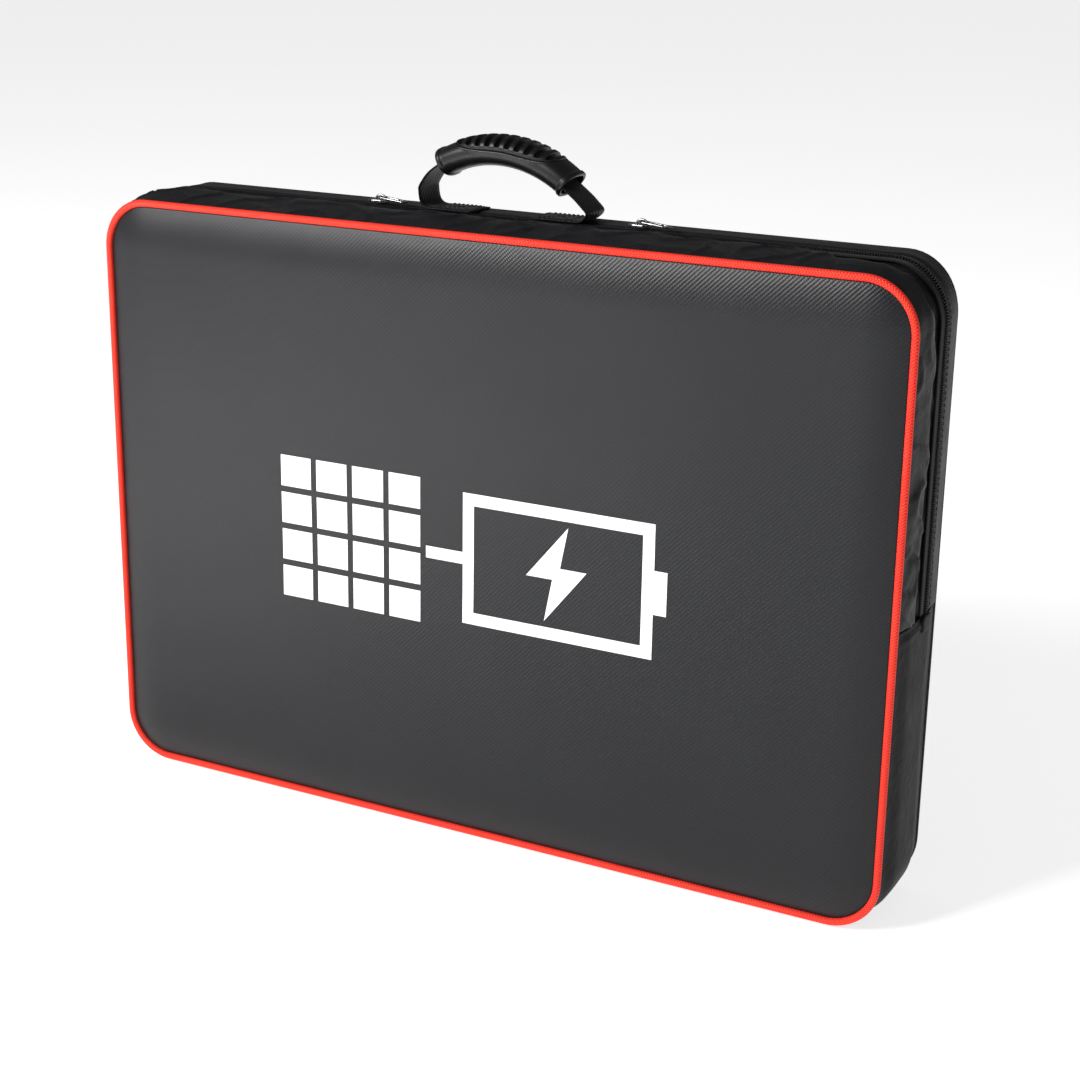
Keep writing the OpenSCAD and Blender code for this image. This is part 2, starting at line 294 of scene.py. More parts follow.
def band(name, part, y_lo, y_hi, out, steps, edge_wave=0.0, z_gap=0.35 * MM, step=2.5 * MM):
    """A strip of cloth round the case. out(s, v, normal, point) is its height over the seam path."""
    points, normals = trimmed(seam_path(part, step), z_gap)
    run = run_along(points)
    outer, inner, uv = grids(len(points), steps + 1)
    for i, (p, n, s) in enumerate(zip(points, normals, run)):
        rear = y_hi + edge_wave * rough01(s / 0.055, 3.7, 1.1)
        for j in range(steps + 1):
            v = j / steps
            y = y_lo + (rear - y_lo) * v
            height = out(s, v, n, p)
            outer[i, j] = p + n * height + np.array([0, y, 0])
            inner[i, j] = p + n * (height - CLOTH_T) + np.array([0, y, 0])
            uv[i, j] = s, y
    outer[:, :, 2] = np.maximum(outer[:, :, 2], FLOOR_CLEAR)
    inner[:, :, 2] = np.maximum(inner[:, :, 2], FLOOR_CLEAR + CLOTH_T)
    return shell(name, outer, inner, uv), float(run[-1])


# ---------------------------------------------------------------- padded covers
def spread(half, edge, fine, coarse, extra=()):
    """Grid places from -half to half: fine near both ends, coarse between, with some added."""
    near = np.arange(0, edge, fine)
    middle = np.linspace(-half + edge, half - edge, max(2, round((2 * half - 2 * edge) / coarse)))
    return np.unique(np.round(np.concatenate([-half + near, middle, half - near, extra]), 6))


def into_corner(x, z, half_x, half_z, r):
    """Moves a point of a rectangle's grid so that the rectangle gets round corners."""
    a, b = abs(x) - (half_x - r), abs(z) - (half_z - r)
    if a <= 0 or b <= 0:
        return x, z
    a, b = a / r, b / r
    na, nb = a * math.sqrt(1 - b * b / 2), b * math.sqrt(1 - a * a / 2)
    return math.copysign(half_x - r + na * r, x), math.copysign(half_z - r + nb * r, z)


def inset_of(x, z, half_x, half_z, r):
    """How far a point is inside the edge of a rounded rectangle."""
    qx, qz = abs(x) - (half_x - r), abs(z) - (half_z - r)
    return r - math.hypot(max(qx, 0), max(qz, 0)) - min(max(qx, qz), 0)


def padded(name, half_x, z_lo, z_hi, r, y_seam, height, y_flat, fine=2.5 * MM, coarse=9 * MM, rows=()):
    """A closed padded cover: its face stands height(x, z, inset) from the seam, its other side is flat."""
    half_z, mid = (z_hi - z_lo) / 2, (z_hi + z_lo) / 2
    xs = spread(half_x, r + 6 * MM, fine, coarse)
    zs = spread(half_z, r + 6 * MM, fine, coarse, [row - mid for row in rows])
    outer, inner, uv = grids(len(xs), len(zs))
    for i, gx in enumerate(xs):
        for j, gz in enumerate(zs):
            x, z = into_corner(gx, gz, half_x, half_z, r)
            d = max(0.0, inset_of(x, z, half_x, half_z, r))
            outer[i, j] = x, y_seam + height(x, z + mid, d), z + mid
            inner[i, j] = x, y_flat, z + mid
            uv[i, j] = x, z + mid
    return shell(name, outer, inner, uv)


FACE_X, FACE_Z0, FACE_Z1 = HALF_W - 1.6 * MM, Z0 + 1.6 * MM, Z1 - 1.6 * MM
FACE_R = CORNER - 1.6 * MM
FACE_SEAM_Y = PIPE_Y + 0.6 * MM
FACE_CROWN = FACE_SEAM_Y - FACE_Y - 0.9 * MM


def face_height(x, z, d):
    """The front face: it rolls up from the piping over the edge of the foam board, then lies nearly flat."""
    roll = 1 - (1 - min(1.0, d / (36 * MM))) ** 2.3
    slack = 0.75 * MM * rough01(x / 0.16, z / 0.12, 0.3) + 0.25 * MM * rough01(x / 0.05, z / 0.045, 5.1)
    pucker = 0.55 * MM * rough01(x / 0.006, z / 0.006, 2.0) * math.exp(-d / (6 * MM))
    return -(FACE_CROWN * roll + (slack * smooth01(d / 0.03) + pucker * smooth01(d / 0.002)))


def face_y(x, z):
    half_z, mid = (FACE_Z1 - FACE_Z0) / 2, (FACE_Z1 + FACE_Z0) / 2
    d = max(0.0, inset_of(x, z - mid, FACE_X, half_z, FACE_R))
    return FACE_SEAM_Y + face_height(x, z, d)


def front_face():
    piece = padded("front_face", FACE_X, FACE_Z0, FACE_Z1, FACE_R, FACE_SEAM_Y, face_height,
                   FACE_SEAM_Y + 0.45 * MM, rows=FOLD_ROWS)
    return piece


BACK_OUT = {"side": 0.5 * MM, "top": 6 * MM, "bottom": 4 * MM}
COVER_INSET = 1.5 * MM


def back_height(x, z, d):
    roll = ramp_at([(0, 0.0), (4 * MM, 0.6), (12 * MM, 1.0), (20 * MM, 0.96)], d)
    slack = 0.35 * MM * rough01(x / 0.14, z / 0.11, 9.3)
    return 2.6 * MM * roll + min(0.0, slack) * smooth01(d / 0.03)


def back_cover():
    half_x = HALF_W + BACK_OUT["side"] - COVER_INSET
    z_lo, z_hi = Z0 - BACK_OUT["bottom"] + COVER_INSET, Z1 + BACK_OUT["top"] - COVER_INSET
    piece = padded("back_cover", half_x, z_lo, z_hi, CORNER + 2 * MM, BACK_Y - 3 * MM, back_height,
                   BACK_Y - 3.8 * MM)
    return piece


# ---------------------------------------------------------------- gussets
def seat(n, side, top, bottom):
    """A value that turns from the sides' to the top's or bottom's with the outward direction."""
    up, down = max(0.0, n[2]) ** 2, max(0.0, -n[2]) ** 2
    return side * (1 - up - down) + top * up + bottom * down


def back_seat(n):
    """How far the back cover's edge stands outside the seam path."""
    return seat(n, BACK_OUT["side"], BACK_OUT["top"], BACK_OUT["bottom"])


def zip_seat(n):
    """How far the zip's tapes stand outside the seam path."""
    return seat(n, TAPE_OUT, TAPE_FRONT[1].z - Z1, TAPE_OUT)


def crest_place(s, n, p):
    """Where across the front strip its soft crest lies, from 0 at the piping to 1 at the zip."""
    up = max(0.0, n[2])
    wave = 0.13 * rough01(s / 0.052, 0.2, 7.7) + 0.06 * rough01(s / 0.021, 1.2, 3.1)
    near_corner = (0.66 if p[0] > 0 else 0.80) * HALF_W
    corner = smooth01((abs(p[0]) - near_corner) / (0.24 * HALF_W)) * up ** 0.5
    return (0.80 * up + 0.62 * (1 - up)) * (1 - 0.62 * corner) + wave * (0.35 + 0.65 * up)


def front_strip_out(s, v, n, p):
    """The front strip: a soft crest, a valley beside the zip, and folds, creases and dimples."""
    crest = seat(n, 4.0 * MM, 7.6 * MM, 4 * MM) + 1.6 * MM * rough01(s / 0.06, 5.3, 0.7)
    place_v = crest_place(s, n, p)
    last = seat(n, 2.6 * MM, 2.9 * MM, 2.6 * MM)
    if v < place_v:
        rise = -1.6 * MM + (crest + 1.6 * MM) * math.sin(0.5 * math.pi * v / place_v) ** 0.75
    else:
        t = (v - place_v) / max(0.05, 1 - place_v)
        valley = min(last, 0.4 * MM)
        rise = ramp_at([(0, crest), (0.42, valley), (0.62, valley), (1.0, last)], t)
    inside = math.sin(math.pi * min(1, max(0, v))) ** 0.7
    fold = 2.3 * MM * abs(rough01(s / 0.026 + 1.8 * v, v * 2.2, 4.4)) * inside
    sharp = 1.0 - abs(rough01(s / 0.034 - 1.1 * v, v * 1.7, 1.9)) * 2.0
    crease = 1.7 * MM * smooth01((sharp - 0.72) / 0.28) * inside
    dimple = 3.0 * MM * smooth01((rough01(s / 0.013, v * 1.2, 8.1) - 0.25) / 0.3)
    return rise - fold + crease - dimple * math.exp(-v / 0.22) * smooth01(v / 0.05)


def rear_strip_out(s, v, n, p=None):
    crest, last = seat(n, 2.4 * MM, 6.0 * MM, 4 * MM), back_seat(n)
    rise = ramp_at([(0, 2.9 * MM), (0.25, crest), (0.7, max(crest - 0.4 * MM, last)), (0.9, last),
                    (1, last - 2.4 * MM)], v)
    return rise + 0.5 * MM * rough01(s / 0.05, v * 1.5, 6.6) * math.sin(math.pi * v)


def lower_strip_out(s, v, n, p):
    """The lower strip: puffed, puckered at the piping, with a sewn seam just under the flap's fold."""
    crest, last = seat(n, 3.6 * MM, 6 * MM, 5.4 * MM), back_seat(n)
    rise = ramp_at([(0, -1.2 * MM), (0.06, 1.0 * MM), (0.3, crest), (0.7, crest), (0.93, last),
                    (1, last - 2.4 * MM)], v)
    puff = 1.3 * MM * rough01(s / 0.09, v * 1.4, 2.2) * math.sin(math.pi * v)
    pucker = 0.7 * MM * rough01(s / 0.011, v * 4, 5.5) * math.exp(-v / 0.12) * smooth01(v / 0.03)
    drop = FOLD_Z - p[2] - 2.5 * MM - 7 * MM * max(0.0, 0.6 - v)
    groove = 1.5 * MM * math.exp(-(drop / (1.6 * MM)) ** 2)
    seam = 0.7 * MM * math.exp(-((drop - 3.5 * MM) / (2 * MM)) ** 2) - groove
    return rise + puff + pucker + seam * math.sin(math.pi * min(1, 0.1 + v)) ** 0.4


STRIP_FRONT_Y, STRIP_BACK_Y = PIPE_Y + 2.2 * MM, BACK_Y - 1.6 * MM
REAR_STRIP_Y = TAPE_REAR[1].y - 1 * MM


def gussets():
    front, run = band("front_gusset_cloth", "upper", STRIP_FRONT_Y, TAPE_FRONT[0].y + 1 * MM,
                      front_strip_out, 30, edge_wave=3.2 * MM)
    rear, run = band("rear_gusset_cloth", "upper", REAR_STRIP_Y, STRIP_BACK_Y, rear_strip_out, 18)
    lower, run = band("lower_gusset_cloth", "lower", STRIP_FRONT_Y, STRIP_BACK_Y, lower_strip_out, 40)
    return front, rear, lower


# ---------------------------------------------------------------- zip
TAPE_OUT = TAPE_FRONT[1].x - HALF_W
TOOTH = 1.8 * MM
PULL_SLOPE = -6


def tape(name, y_lo, y_hi):
    piece, run = band(name, "upper", y_lo, y_hi, lambda s, v, n, p: zip_seat(n) - 0.2 * MM, 6, step=4 * MM)
    return piece


def coil(name, side):
    """Half of the zip's coil: one loop of nylon after another, reaching to the middle line."""
    points, normals = trimmed(seam_path("upper", TOOTH), 1.2 * MM)
    verts, faces = [], []
    half, reach = 0.3 * TOOTH, 3.1 * MM
    for k in range(1, len(points) - 1):
        p, n = points[k], normals[k]
        along = np.cross(n, [0, 1, 0])
        shift = 0.25 * TOOTH * side
        foot = zip_seat(n) - 0.3 * MM
        first = len(verts)
        for y, top, wide in ((0.12 * MM, 1.5 * MM, 0.75), (0.9 * MM, 1.9 * MM, 1.0), (reach, 1.2 * MM, 0.9)):
            for a, h in ((-1, 0), (-0.8, 0.85), (0, 1), (0.8, 0.85), (1, 0)):
                spot = p + n * (foot + h * top) + along * (a * half * wide + shift)
                verts.append(spot + np.array([0, ZIP_Y + side * y, 0]))
        for row in (first, first + 5):
            faces += [(row + c, row + c + 1, row + c + 6, row + c + 5) for c in range(4)]
            faces.append((row, row + 5, row + 9, row + 4))
        faces += [tuple(first + c for c in range(5)), tuple(first + 14 - c for c in range(5))]
    return new_mesh(name, verts, faces)


def zip_end(side):
    """A small sewn patch over the end of the zip."""
    lo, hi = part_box("zip_end_tabs")
    y0, y1, z0, z1 = lo.y + 1 * MM, hi.y - 1 * MM, lo.z + 3 * MM, hi.z - 0.3 * MM
    half_y, half_z, x = (y1 - y0) / 2, (z1 - z0) / 2, hi.x if side > 0 else lo.x
    cells = 12
    outer, inner, uv = grids(cells + 1, cells + 1)
    for i in range(cells + 1):
        for j in range(cells + 1):
            u, v = -1 + 2 * i / cells, -1 + 2 * j / cells
            y, z = into_corner(u * half_y, v * half_z, half_y, half_z, 3.5 * MM)
            edge = (1 - u ** 8) * (1 - v ** 8)
            outer[i, j] = x - side * (1.1 - 0.9 * edge) * MM, (y0 + y1) / 2 + y, (z0 + z1) / 2 + z
            inner[i, j] = x - side * 2.6 * MM, (y0 + y1) / 2 + y, (z0 + z1) / 2 + z
            uv[i, j] = y, z
    return shell("zip_end", outer, inner, uv)


def slider(name, node_name):
    """A shield-shaped body with the wire bridge that its pull hangs on."""
    lo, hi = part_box(node_name)
    mid = Vector(((lo.x + hi.x) / 2, (lo.y + hi.y) / 2, lo.z))
    shield = [(-8, -2.5), (-4, -4), (4, -4), (8, -2.2), (8, 2.2), (4, 4), (-4, 4), (-8, 2.5)]
    body = bevelled(name + "_body", [(x * MM, y * MM) for x, y in shield], 0, 2.4 * MM, 0.55 * MM, mid)
    steps = [math.pi * k / 14 for k in range(15)]
    arch = [mid + Vector((2 + 4.4 * math.cos(a), 0, 2 + 3.6 * math.sin(a))) * MM for a in steps]
    return joined(name, [body, wire(name + "_bridge", arch, 0.85 * MM)])


def pull(name, joint):
    """A wire loop that hangs on the slider's bridge, at its rest slope above +X."""
    pivot = Vector(joint_at[joint])
    long, half, bend = 23.5 * MM, 2.9 * MM, 2.9 * MM
    loop = []
    for cx, start in ((long - bend - 1.3 * MM, -90), (bend - 1.3 * MM, 90)):
        for k in range(9):
            a = math.radians(start + 180 * k / 8)
            loop.append((cx + bend * math.cos(a), half * math.sin(a)))
    turn = Matrix.Rotation(math.radians(-PULL_SLOPE), 3, "Y")
    points = [pivot + turn @ Vector((x, y, 0)) for x, y in loop]
    grip = []
    for k in range(15):
        a = math.radians(-84 + 168 * k / 14)
        grip.append((long - 8.5 * MM + 6 * MM * math.cos(a), (half - 0.2 * MM) * math.sin(a)))
    rim = wire(name + "_rim", points, 0.75 * MM, closed=True)
    end = [pivot + turn @ Vector((x, y, 0)) for x, y in grip]
    bar = [pivot + turn @ Vector((long - 9 * MM, s * half, 0)) for s in (-1, 1)]
    return joined(name, [rim, wire(name + "_bar", bar, 0.7 * MM), wire(name + "_end", end, 0.55 * MM)])


# ---------------------------------------------------------------- handle
GRIP_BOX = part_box("handle_grip")
GRIP_W = (GRIP_BOX[1].y - GRIP_BOX[0].y) / 2
HANDLE_Y = (GRIP_BOX[1].y + GRIP_BOX[0].y) / 2
HANDLE_X, GRIP_TOP, GRIP_T, GRIP_SLOPE = -9 * MM, 518 * MM, 23 * MM, math.radians(5)
ARCH_R = 104.7 * MM
MID_R = ARCH_R - GRIP_T / 2
GRIP_HALF = MID_R * 0.578
PAD_HALF, PAD_TURN = 0.735 * GRIP_HALF, 1.5
RIB_COUNT = 9


def on_arch(x, y, lift):
    """A point over the grip's own middle line: x along it, y across it, lift outwards from it."""
    a = x / MID_R + GRIP_SLOPE
    flat_x = HANDLE_X - MID_R * math.sin(GRIP_SLOPE)
    flat_z = GRIP_TOP - GRIP_T / 2 - MID_R * math.cos(GRIP_SLOPE)
    return (flat_x + math.sin(a) * (MID_R + lift), HANDLE_Y + y, flat_z + math.cos(a) * (MID_R + lift))


def grip_skin(x, a, grow=0.0):
    """The grip's surface: a is the angle round its section, from the top towards the front."""
    t = abs(x) / GRIP_HALF
    rim = 0.9 * MM * smooth01((t - 0.93) / 0.03)
    hw = GRIP_W - 1.2 * MM - 1.0 * MM * t * t + rim + grow
    hh = GRIP_T / 2 - 0.9 * MM - 0.6 * MM * t * t + rim + grow
    c, s = math.cos(a), math.sin(a)
    power = 2 / 2.35
    return -math.copysign(abs(s) ** power, s) * hw, math.copysign(abs(c) ** power, c) * hh


def pad_reach(x):
    """How far round the section the ribbed pad goes at a place along the grip."""
    t = min(1.0, abs(x) / PAD_HALF)
    return PAD_TURN * max(0.0, 1 - t ** 3.4) ** 0.5


def handle_grip():
    """The grip's outside, with a sunk bed for the ribbed pad, and its two open mouths."""
    sides, along = 96, 190
    turns = [-math.pi + 2 * math.pi * j / sides for j in range(sides)]
    mouth_steps = ((-0.5, 0.7), (-0.7, 1.6), (-0.4, 2.5), (0.8, 3.0), (5.0, 3.3), (16.0, 3.6), (16.0, 7.0))
    rings = []
    for k in range(along + 1):
        x = GRIP_HALF * (-1 + 2 * k / along)
        ring, reach = [], pad_reach(x)
        for a in turns:
            sink = smooth01((reach - abs(a)) / 0.06) if reach > 0 else 0
            lip = 0.45 * MM * math.exp(-((abs(a) - reach - 0.06) / 0.05) ** 2) if reach > 0.2 else 0
            ring.append(on_arch(x, *grip_skin(x, a, lip - 2.6 * MM * sink)))
        rings.append(ring)
    for sign in (-1, 1):
        mouth = []
        for depth, inset in mouth_steps:
            x = sign * (GRIP_HALF - depth * MM)
            mouth.append([on_arch(x, *grip_skin(sign * GRIP_HALF, a, -inset * MM)) for a in turns])
        rings = (mouth[::-1] + rings) if sign < 0 else (rings + mouth)
    faces = []
    for i in range(len(rings) - 1):
        for j in range(sides):
            k = (j + 1) % sides
            faces.append((i * sides + j, (i + 1) * sides + j, (i + 1) * sides + k, i * sides + k))
    last = (len(rings) - 1) * sides
    faces += [tuple(range(sides)), tuple(last + j for j in range(sides))]
    return new_mesh("grip_body", [p for ring in rings for p in ring], faces)


def rib_rise(x, v):
    """Round-backed ribs with deep round-ended slots between them; v is 1 at the pad's edge."""
    pitch = 2 * PAD_HALF * 0.86 / RIB_COUNT
    place = (x + PAD_HALF * 0.86) / pitch
    t = abs(place - round(place)) * 2
    slot = (1 - smooth01((t - 0.34) / 0.30)) if -0.3 < place < RIB_COUNT + 0.3 else 0
    end = 0.74 - 0.10 * t * t
    slot *= 1 - smooth01((abs(v) - end) / 0.12)
    crown = 1.3 * MM * math.sqrt(max(0.0, 1 - (abs(v) / 0.9) ** 2))
    return crown * (1 - slot) - 2.2 * MM * slot


def grip_insert():
    nx, ny = 300, 56
    top, under, uv = grids(nx + 1, ny + 1)
    for i in range(nx + 1):
        x = PAD_HALF * 0.997 * (-1 + 2 * i / nx)
        reach = max(0.05, pad_reach(x)) * 0.985
        for j in range(ny + 1):
            v = -1 + 2 * j / ny
            edge = smooth01((1 - abs(v)) / 0.07) * smooth01((1 - abs(x) / PAD_HALF) / 0.03)
            top[i, j] = on_arch(x, *grip_skin(x, v * reach, -0.7 * MM + (rib_rise(x, v) + 0.6 * MM) * edge))
            under[i, j] = on_arch(x, *grip_skin(x, v * reach, -3.3 * MM))
            uv[i, j] = x, v * 16 * MM
    return shell("grip_ribs", top, under, uv)


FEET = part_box("handle_feet")
LEG_X = (FEET[1].x - FEET[0].x) / 2
FOOT_Z = (FEET[0].z + FEET[1].z) / 2
FOOT_IN = LEG_X - 42 * MM
WEB_HALF = (FEET[1].y - FEET[0].y) / 2 + 2.4 * MM
WEB_T = 1.7 * MM


def catmull(points, per):
    """A smooth line through a few points."""
    pts = [np.array(p, float) for p in points]
    pts = [2 * pts[0] - pts[1]] + pts + [2 * pts[-1] - pts[-2]]
    line = []
    for a, b, c, d in zip(pts, pts[1:], pts[2:], pts[3:]):
        for k in range(per):
            t = k / per
            line.append(0.5 * (2 * b + (c - a) * t + (2 * a - 5 * b + 4 * c - d) * t * t
                               + (3 * b - a - 3 * c + d) * t ** 3))
    return line + [pts[-2]]


def strap_line(side):
    """The webbing's line in X and Z: from inside the grip, out, down the leg and in along the foot."""
    def inside(t):
        x, _, z = on_arch(side * GRIP_HALF * t, 0, 0)
        return x, z
    out_x, out_z = inside(1.06)
    leg = HANDLE_X + side * LEG_X
    if side > 0:
        free = [(out_x + 8.5 * MM, out_z - 6.5 * MM), (leg + 0.8 * MM, out_z - 13.5 * MM),
                (leg + 1.4 * MM, FOOT_Z + 5 * MM)]
    else:
        free = [(out_x - 7.5 * MM, out_z - 6.0 * MM), (leg - 2.2 * MM, out_z - 15 * MM),
                (leg - 2.6 * MM, FOOT_Z + 11 * MM), (leg - 0.6 * MM, FOOT_Z + 4.5 * MM)]
    foot = [(leg - side * inward * MM, FOOT_Z + lift * MM)
            for inward, lift in ((2.2, 1.2), (6.5, 0), (14, 0), (42, 0))]
    return [inside(0.7), inside(0.9), (out_x, out_z)] + free + foot


def webbing():
    left, right = catmull(strap_line(-1), 9), catmull(strap_line(1), 9)
    middle = [np.array(on_arch(t * GRIP_HALF, 0, 0))[[0, 2]] for t in np.linspace(-0.65, 0.65, 24)]
    line = np.array(left[::-1] + middle + right)
    tangent = np.gradient(line, axis=0)
    tangent /= np.linalg.norm(tangent, axis=1)[:, None]
    normal = np.stack([-tangent[:, 1], tangent[:, 0]], 1)
    run, across = run_along(line), 10
    outer, inner, uv = grids(len(line), across + 1)
    for i, (p, n) in enumerate(zip(line, normal)):
        cup = 0.9 * MM * smooth01((p[1] - FOOT_Z - 3 * MM) / 0.01)
        for j in range(across + 1):
            v = -1 + 2 * j / across
            thick = WEB_T * (1 - 0.55 * abs(v) ** 8) / 2
            bow = -cup * v * v
            for grid, side in ((outer, 1), (inner, -1)):
                q = p + n * (side * thick + bow)
                grid[i, j] = q[0], HANDLE_Y + v * WEB_HALF, q[1]
            uv[i, j] = run[i], v * WEB_HALF
    return shell("handle_webbing", outer, inner, uv), float(run[-1])


# ---------------------------------------------------------------- stitches
def stitches(name, lines, length=3.0 * MM, every=4.2 * MM, radius=0.33 * MM):
    """Thread along some lines of (points, outward normals): a small closed bead for each stitch."""
    verts, faces = [], []
    for points, normals in lines:
        run, at = run_along(points), every / 2
        while at < run[-1] - length / 2:
            spot = [np.array([np.interp(at + d, run, points[:, c]) for c in range(3)])
                    for d in (-length / 2, length / 2)]
            normal = np.array([np.interp(at, run, normals[:, c]) for c in range(3)])
            normal /= np.linalg.norm(normal)
            along = spot[1] - spot[0]
            across = np.cross(along, normal)
            across *= radius / max(1e-9, np.linalg.norm(across))
            first = len(verts)
            for t, lift, fat in ((0, -0.6, 0.5), (0.25, 0.75, 1), (0.75, 0.75, 1), (1, -0.6, 0.5)):
                centre = spot[0] + along * t + normal * radius * lift
                verts += [centre + across * fat, centre + normal * radius * fat,
                          centre - across * fat, centre - normal * radius * fat]
            for r in range(3):
                for c in range(4):
                    a, b = first + 4 * r + c, first + 4 * r + (c + 1) % 4
                    faces.append((a, b, b + 4, a + 4))
            faces += [tuple(first + c for c in (3, 2, 1, 0)), tuple(first + 12 + c for c in range(4))]
            at += every
    return new_mesh(name, verts, faces)


def box_stitch(x_in, x_out, y_half, z):
    """The square with a cross in it that holds a strap's foot down."""
    corner = [(x_in, -y_half), (x_out, -y_half), (x_out, y_half), (x_in, y_half)]
    runs = [(corner[k], corner[(k + 1) % 4]) for k in range(4)]
    runs += [(corner[0], corner[2]), (corner[1], corner[3])]
    up = np.array([[0, 0, 1.0]] * 2)
    return [(np.array([(a[0], HANDLE_Y + a[1], z), (b[0], HANDLE_Y + b[1], z)]), up) for a, b in runs]


# ---------------------------------------------------------------- generic print on the front
def outline_rect(x0, z0, x1, z1):
    return [(x0, z0), (x1, z0), (x1, z1), (x0, z1)]


PRINT_X0, PRINT_X1 = -162 * MM, 158 * MM
PRINT_Z0, PRINT_Z1 = 168 * MM, 279 * MM


def print_shapes():
    """A grid of cells, a lead and a battery with a charge bolt: a plain sign for a solar charger."""
    shapes = []
    cols, rows, gap = 4, 4, 5 * MM
    grid_w, grid_h = 122 * MM, PRINT_Z1 - PRINT_Z0
    w, h = (grid_w - gap * (cols - 1)) / cols, (grid_h - gap * (rows - 1)) / rows
    for i in range(cols):
        for j in range(rows):
            x, z = PRINT_X0 + i * (w + gap), PRINT_Z0 + j * (h + gap)
            shapes.append(outline_rect(x, z, x + w, z + h))
    line, nub = 9 * MM, 10 * MM
    bx0, bx1 = PRINT_X0 + grid_w + 36 * MM, PRINT_X1 - nub
    bz0, bz1 = PRINT_Z0 + 6 * MM, PRINT_Z1 - 6 * MM
    mid = (bz0 + bz1) / 2
    shapes += [outline_rect(bx0, bz0, bx1, bz0 + line), outline_rect(bx0, bz1 - line, bx1, bz1),
               outline_rect(bx0, bz0 + line, bx0 + line, bz1 - line),
               outline_rect(bx1 - line, bz0 + line, bx1, bz1 - line),
               outline_rect(bx1, mid - 16 * MM, bx1 + nub, mid + 16 * MM),
               outline_rect(PRINT_X0 + grid_w + 5 * MM, mid - line / 2, bx0, mid + line / 2)]
    cx = (bx0 + bx1) / 2
    bolt = [(9, 36), (-24, -4), (-3, -4), (-9, -36), (24, 5), (3, 5)]
    shapes.append([(cx + x * MM, mid + z * MM) for x, z in bolt])
    return shapes


def front_print():
    bm = bmesh.new()
    for shape in print_shapes():
        bm.faces.new([bm.verts.new((x, 0, z)) for x, z in shape])
    bm.normal_update()
    bmesh.ops.triangulate(bm, faces=[f for f in bm.faces if len(f.verts) > 4], ngon_method="EAR_CLIP")
    cuts = [((x, 0, 0), (1, 0, 0)) for x in np.arange(PRINT_X0, PRINT_X1, 7 * MM)]
    cuts += [((0, 0, z), (0, 0, 1)) for z in np.arange(PRINT_Z0, PRINT_Z1, 7 * MM)]
    cuts += [((0, 0, z), (0, 0, 1)) for z in FOLD_ROWS]
    for place, normal in cuts:
        geom = bm.verts[:] + bm.edges[:] + bm.faces[:]
        bmesh.ops.bisect_plane(bm, geom=geom, plane_co=place, plane_no=normal, dist=1e-6)
    for v in bm.verts:
        v.co.y = face_y(v.co.x, v.co.z) - 0.32 * MM
    lifted = bmesh.ops.extrude_face_region(bm, geom=bm.faces[:])["geom"]
    for v in lifted:
        if isinstance(v, bmesh.types.BMVert):
            v.co.y += 0.3 * MM
    bmesh.ops.recalc_face_normals(bm, faces=bm.faces)
    layer = bm.loops.layers.uv.new("UVMap")
    for f in bm.faces:
        for loop in f.loops:
            loop[layer].uv = (loop.vert.co.x, loop.vert.co.z)
    return from_bmesh("front_print", bm)


# ---------------------------------------------------------------- blanket
LEAF_R = 8 * MM
HEM_W = 14 * MM


def leaf_path(lo, hi, inset, r):
    """A closed rounded rectangle inside a leaf's edge, as points and outward normals."""
    x1, z0, z1 = hi.x - inset, lo.z + inset, hi.z - inset
    rows = []
    bends = ((x1 - r, z1 - r, 0), (-x1 + r, z1 - r, 90), (-x1 + r, z0 + r, 180), (x1 - r, z0 + r, 270))
    for cx, cz, start in bends:
        for k in range(7):
            a = math.radians(start + 15 * k)
            rows.append((cx + r * math.cos(a), cz + r * math.sin(a), math.cos(a), math.sin(a)))
    dense = []
    for a, b in zip(rows, rows[1:] + rows[:1]):
        count = max(1, round(math.hypot(b[0] - a[0], b[1] - a[1]) / (12 * MM)))
        dense += [tuple(np.array(a) + (np.array(b) - np.array(a)) * k / count) for k in range(count)]
    rows = np.array(dense)
    zero = np.zeros(len(rows))
    return np.stack([rows[:, 0], zero, rows[:, 1]], 1), np.stack([rows[:, 2], zero, rows[:, 3]], 1)


def leaf(prefix, outer_sign):
    """One leaf's soft pieces: its quilted outer cloth, its sewn hem and the thread in the hem."""
    lo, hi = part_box(prefix + "_backing")
    y_out, y_in = (hi.y, lo.y) if outer_sign > 0 else (lo.y, hi.y)

    def height(x, z, d):
        quilt = abs(math.sin(math.pi * (x + hi.x) / (2 * hi.x / 3))) ** 0.3
        soft = ramp_at([(0, 0.0), (4 * MM, 0.8), (14 * MM, 1.0)], d)
        return outer_sign * (0.5 * MM * soft + 0.55 * MM * soft * quilt)

    cloth = padded(prefix + "_cloth", hi.x, lo.z, hi.z, LEAF_R, y_out - outer_sign * 1.1 * MM, height,
                   y_in + outer_sign * 0.02 * MM, fine=2.5 * MM, coarse=10 * MM)
    h_lo, h_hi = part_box(prefix + "_hem")
    section = rounded_section(-HEM_W / 2, HEM_W / 2, h_lo.y, h_hi.y, 2.4 * MM)
    hem = sweep(prefix + "_hem_tape", leaf_path(lo, hi, HEM_W / 2, LEAF_R), section, closed=True)
    inner_y = h_lo.y if outer_sign > 0 else h_hi.y
    lines = []
    for inset in (3.4 * MM, HEM_W - 2.6 * MM):
        points, _ = leaf_path(lo, hi, inset, LEAF_R)
        points = np.concatenate([points, points[:1]])
        facing = np.tile([0.0, -outer_sign, 0.0], (len(points), 1))
        lines.append((points + np.array([0, inner_y, 0]), facing))
    thread = stitches(prefix + "_thread", lines)
    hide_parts(prefix + "_backing")
    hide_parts(prefix + "_hem")
    finish_piece(cloth, LEAF_CLOTH, prefix)
    finish_piece(hem, LEAF_HEM, prefix)
    finish_piece(thread, THREAD, prefix)


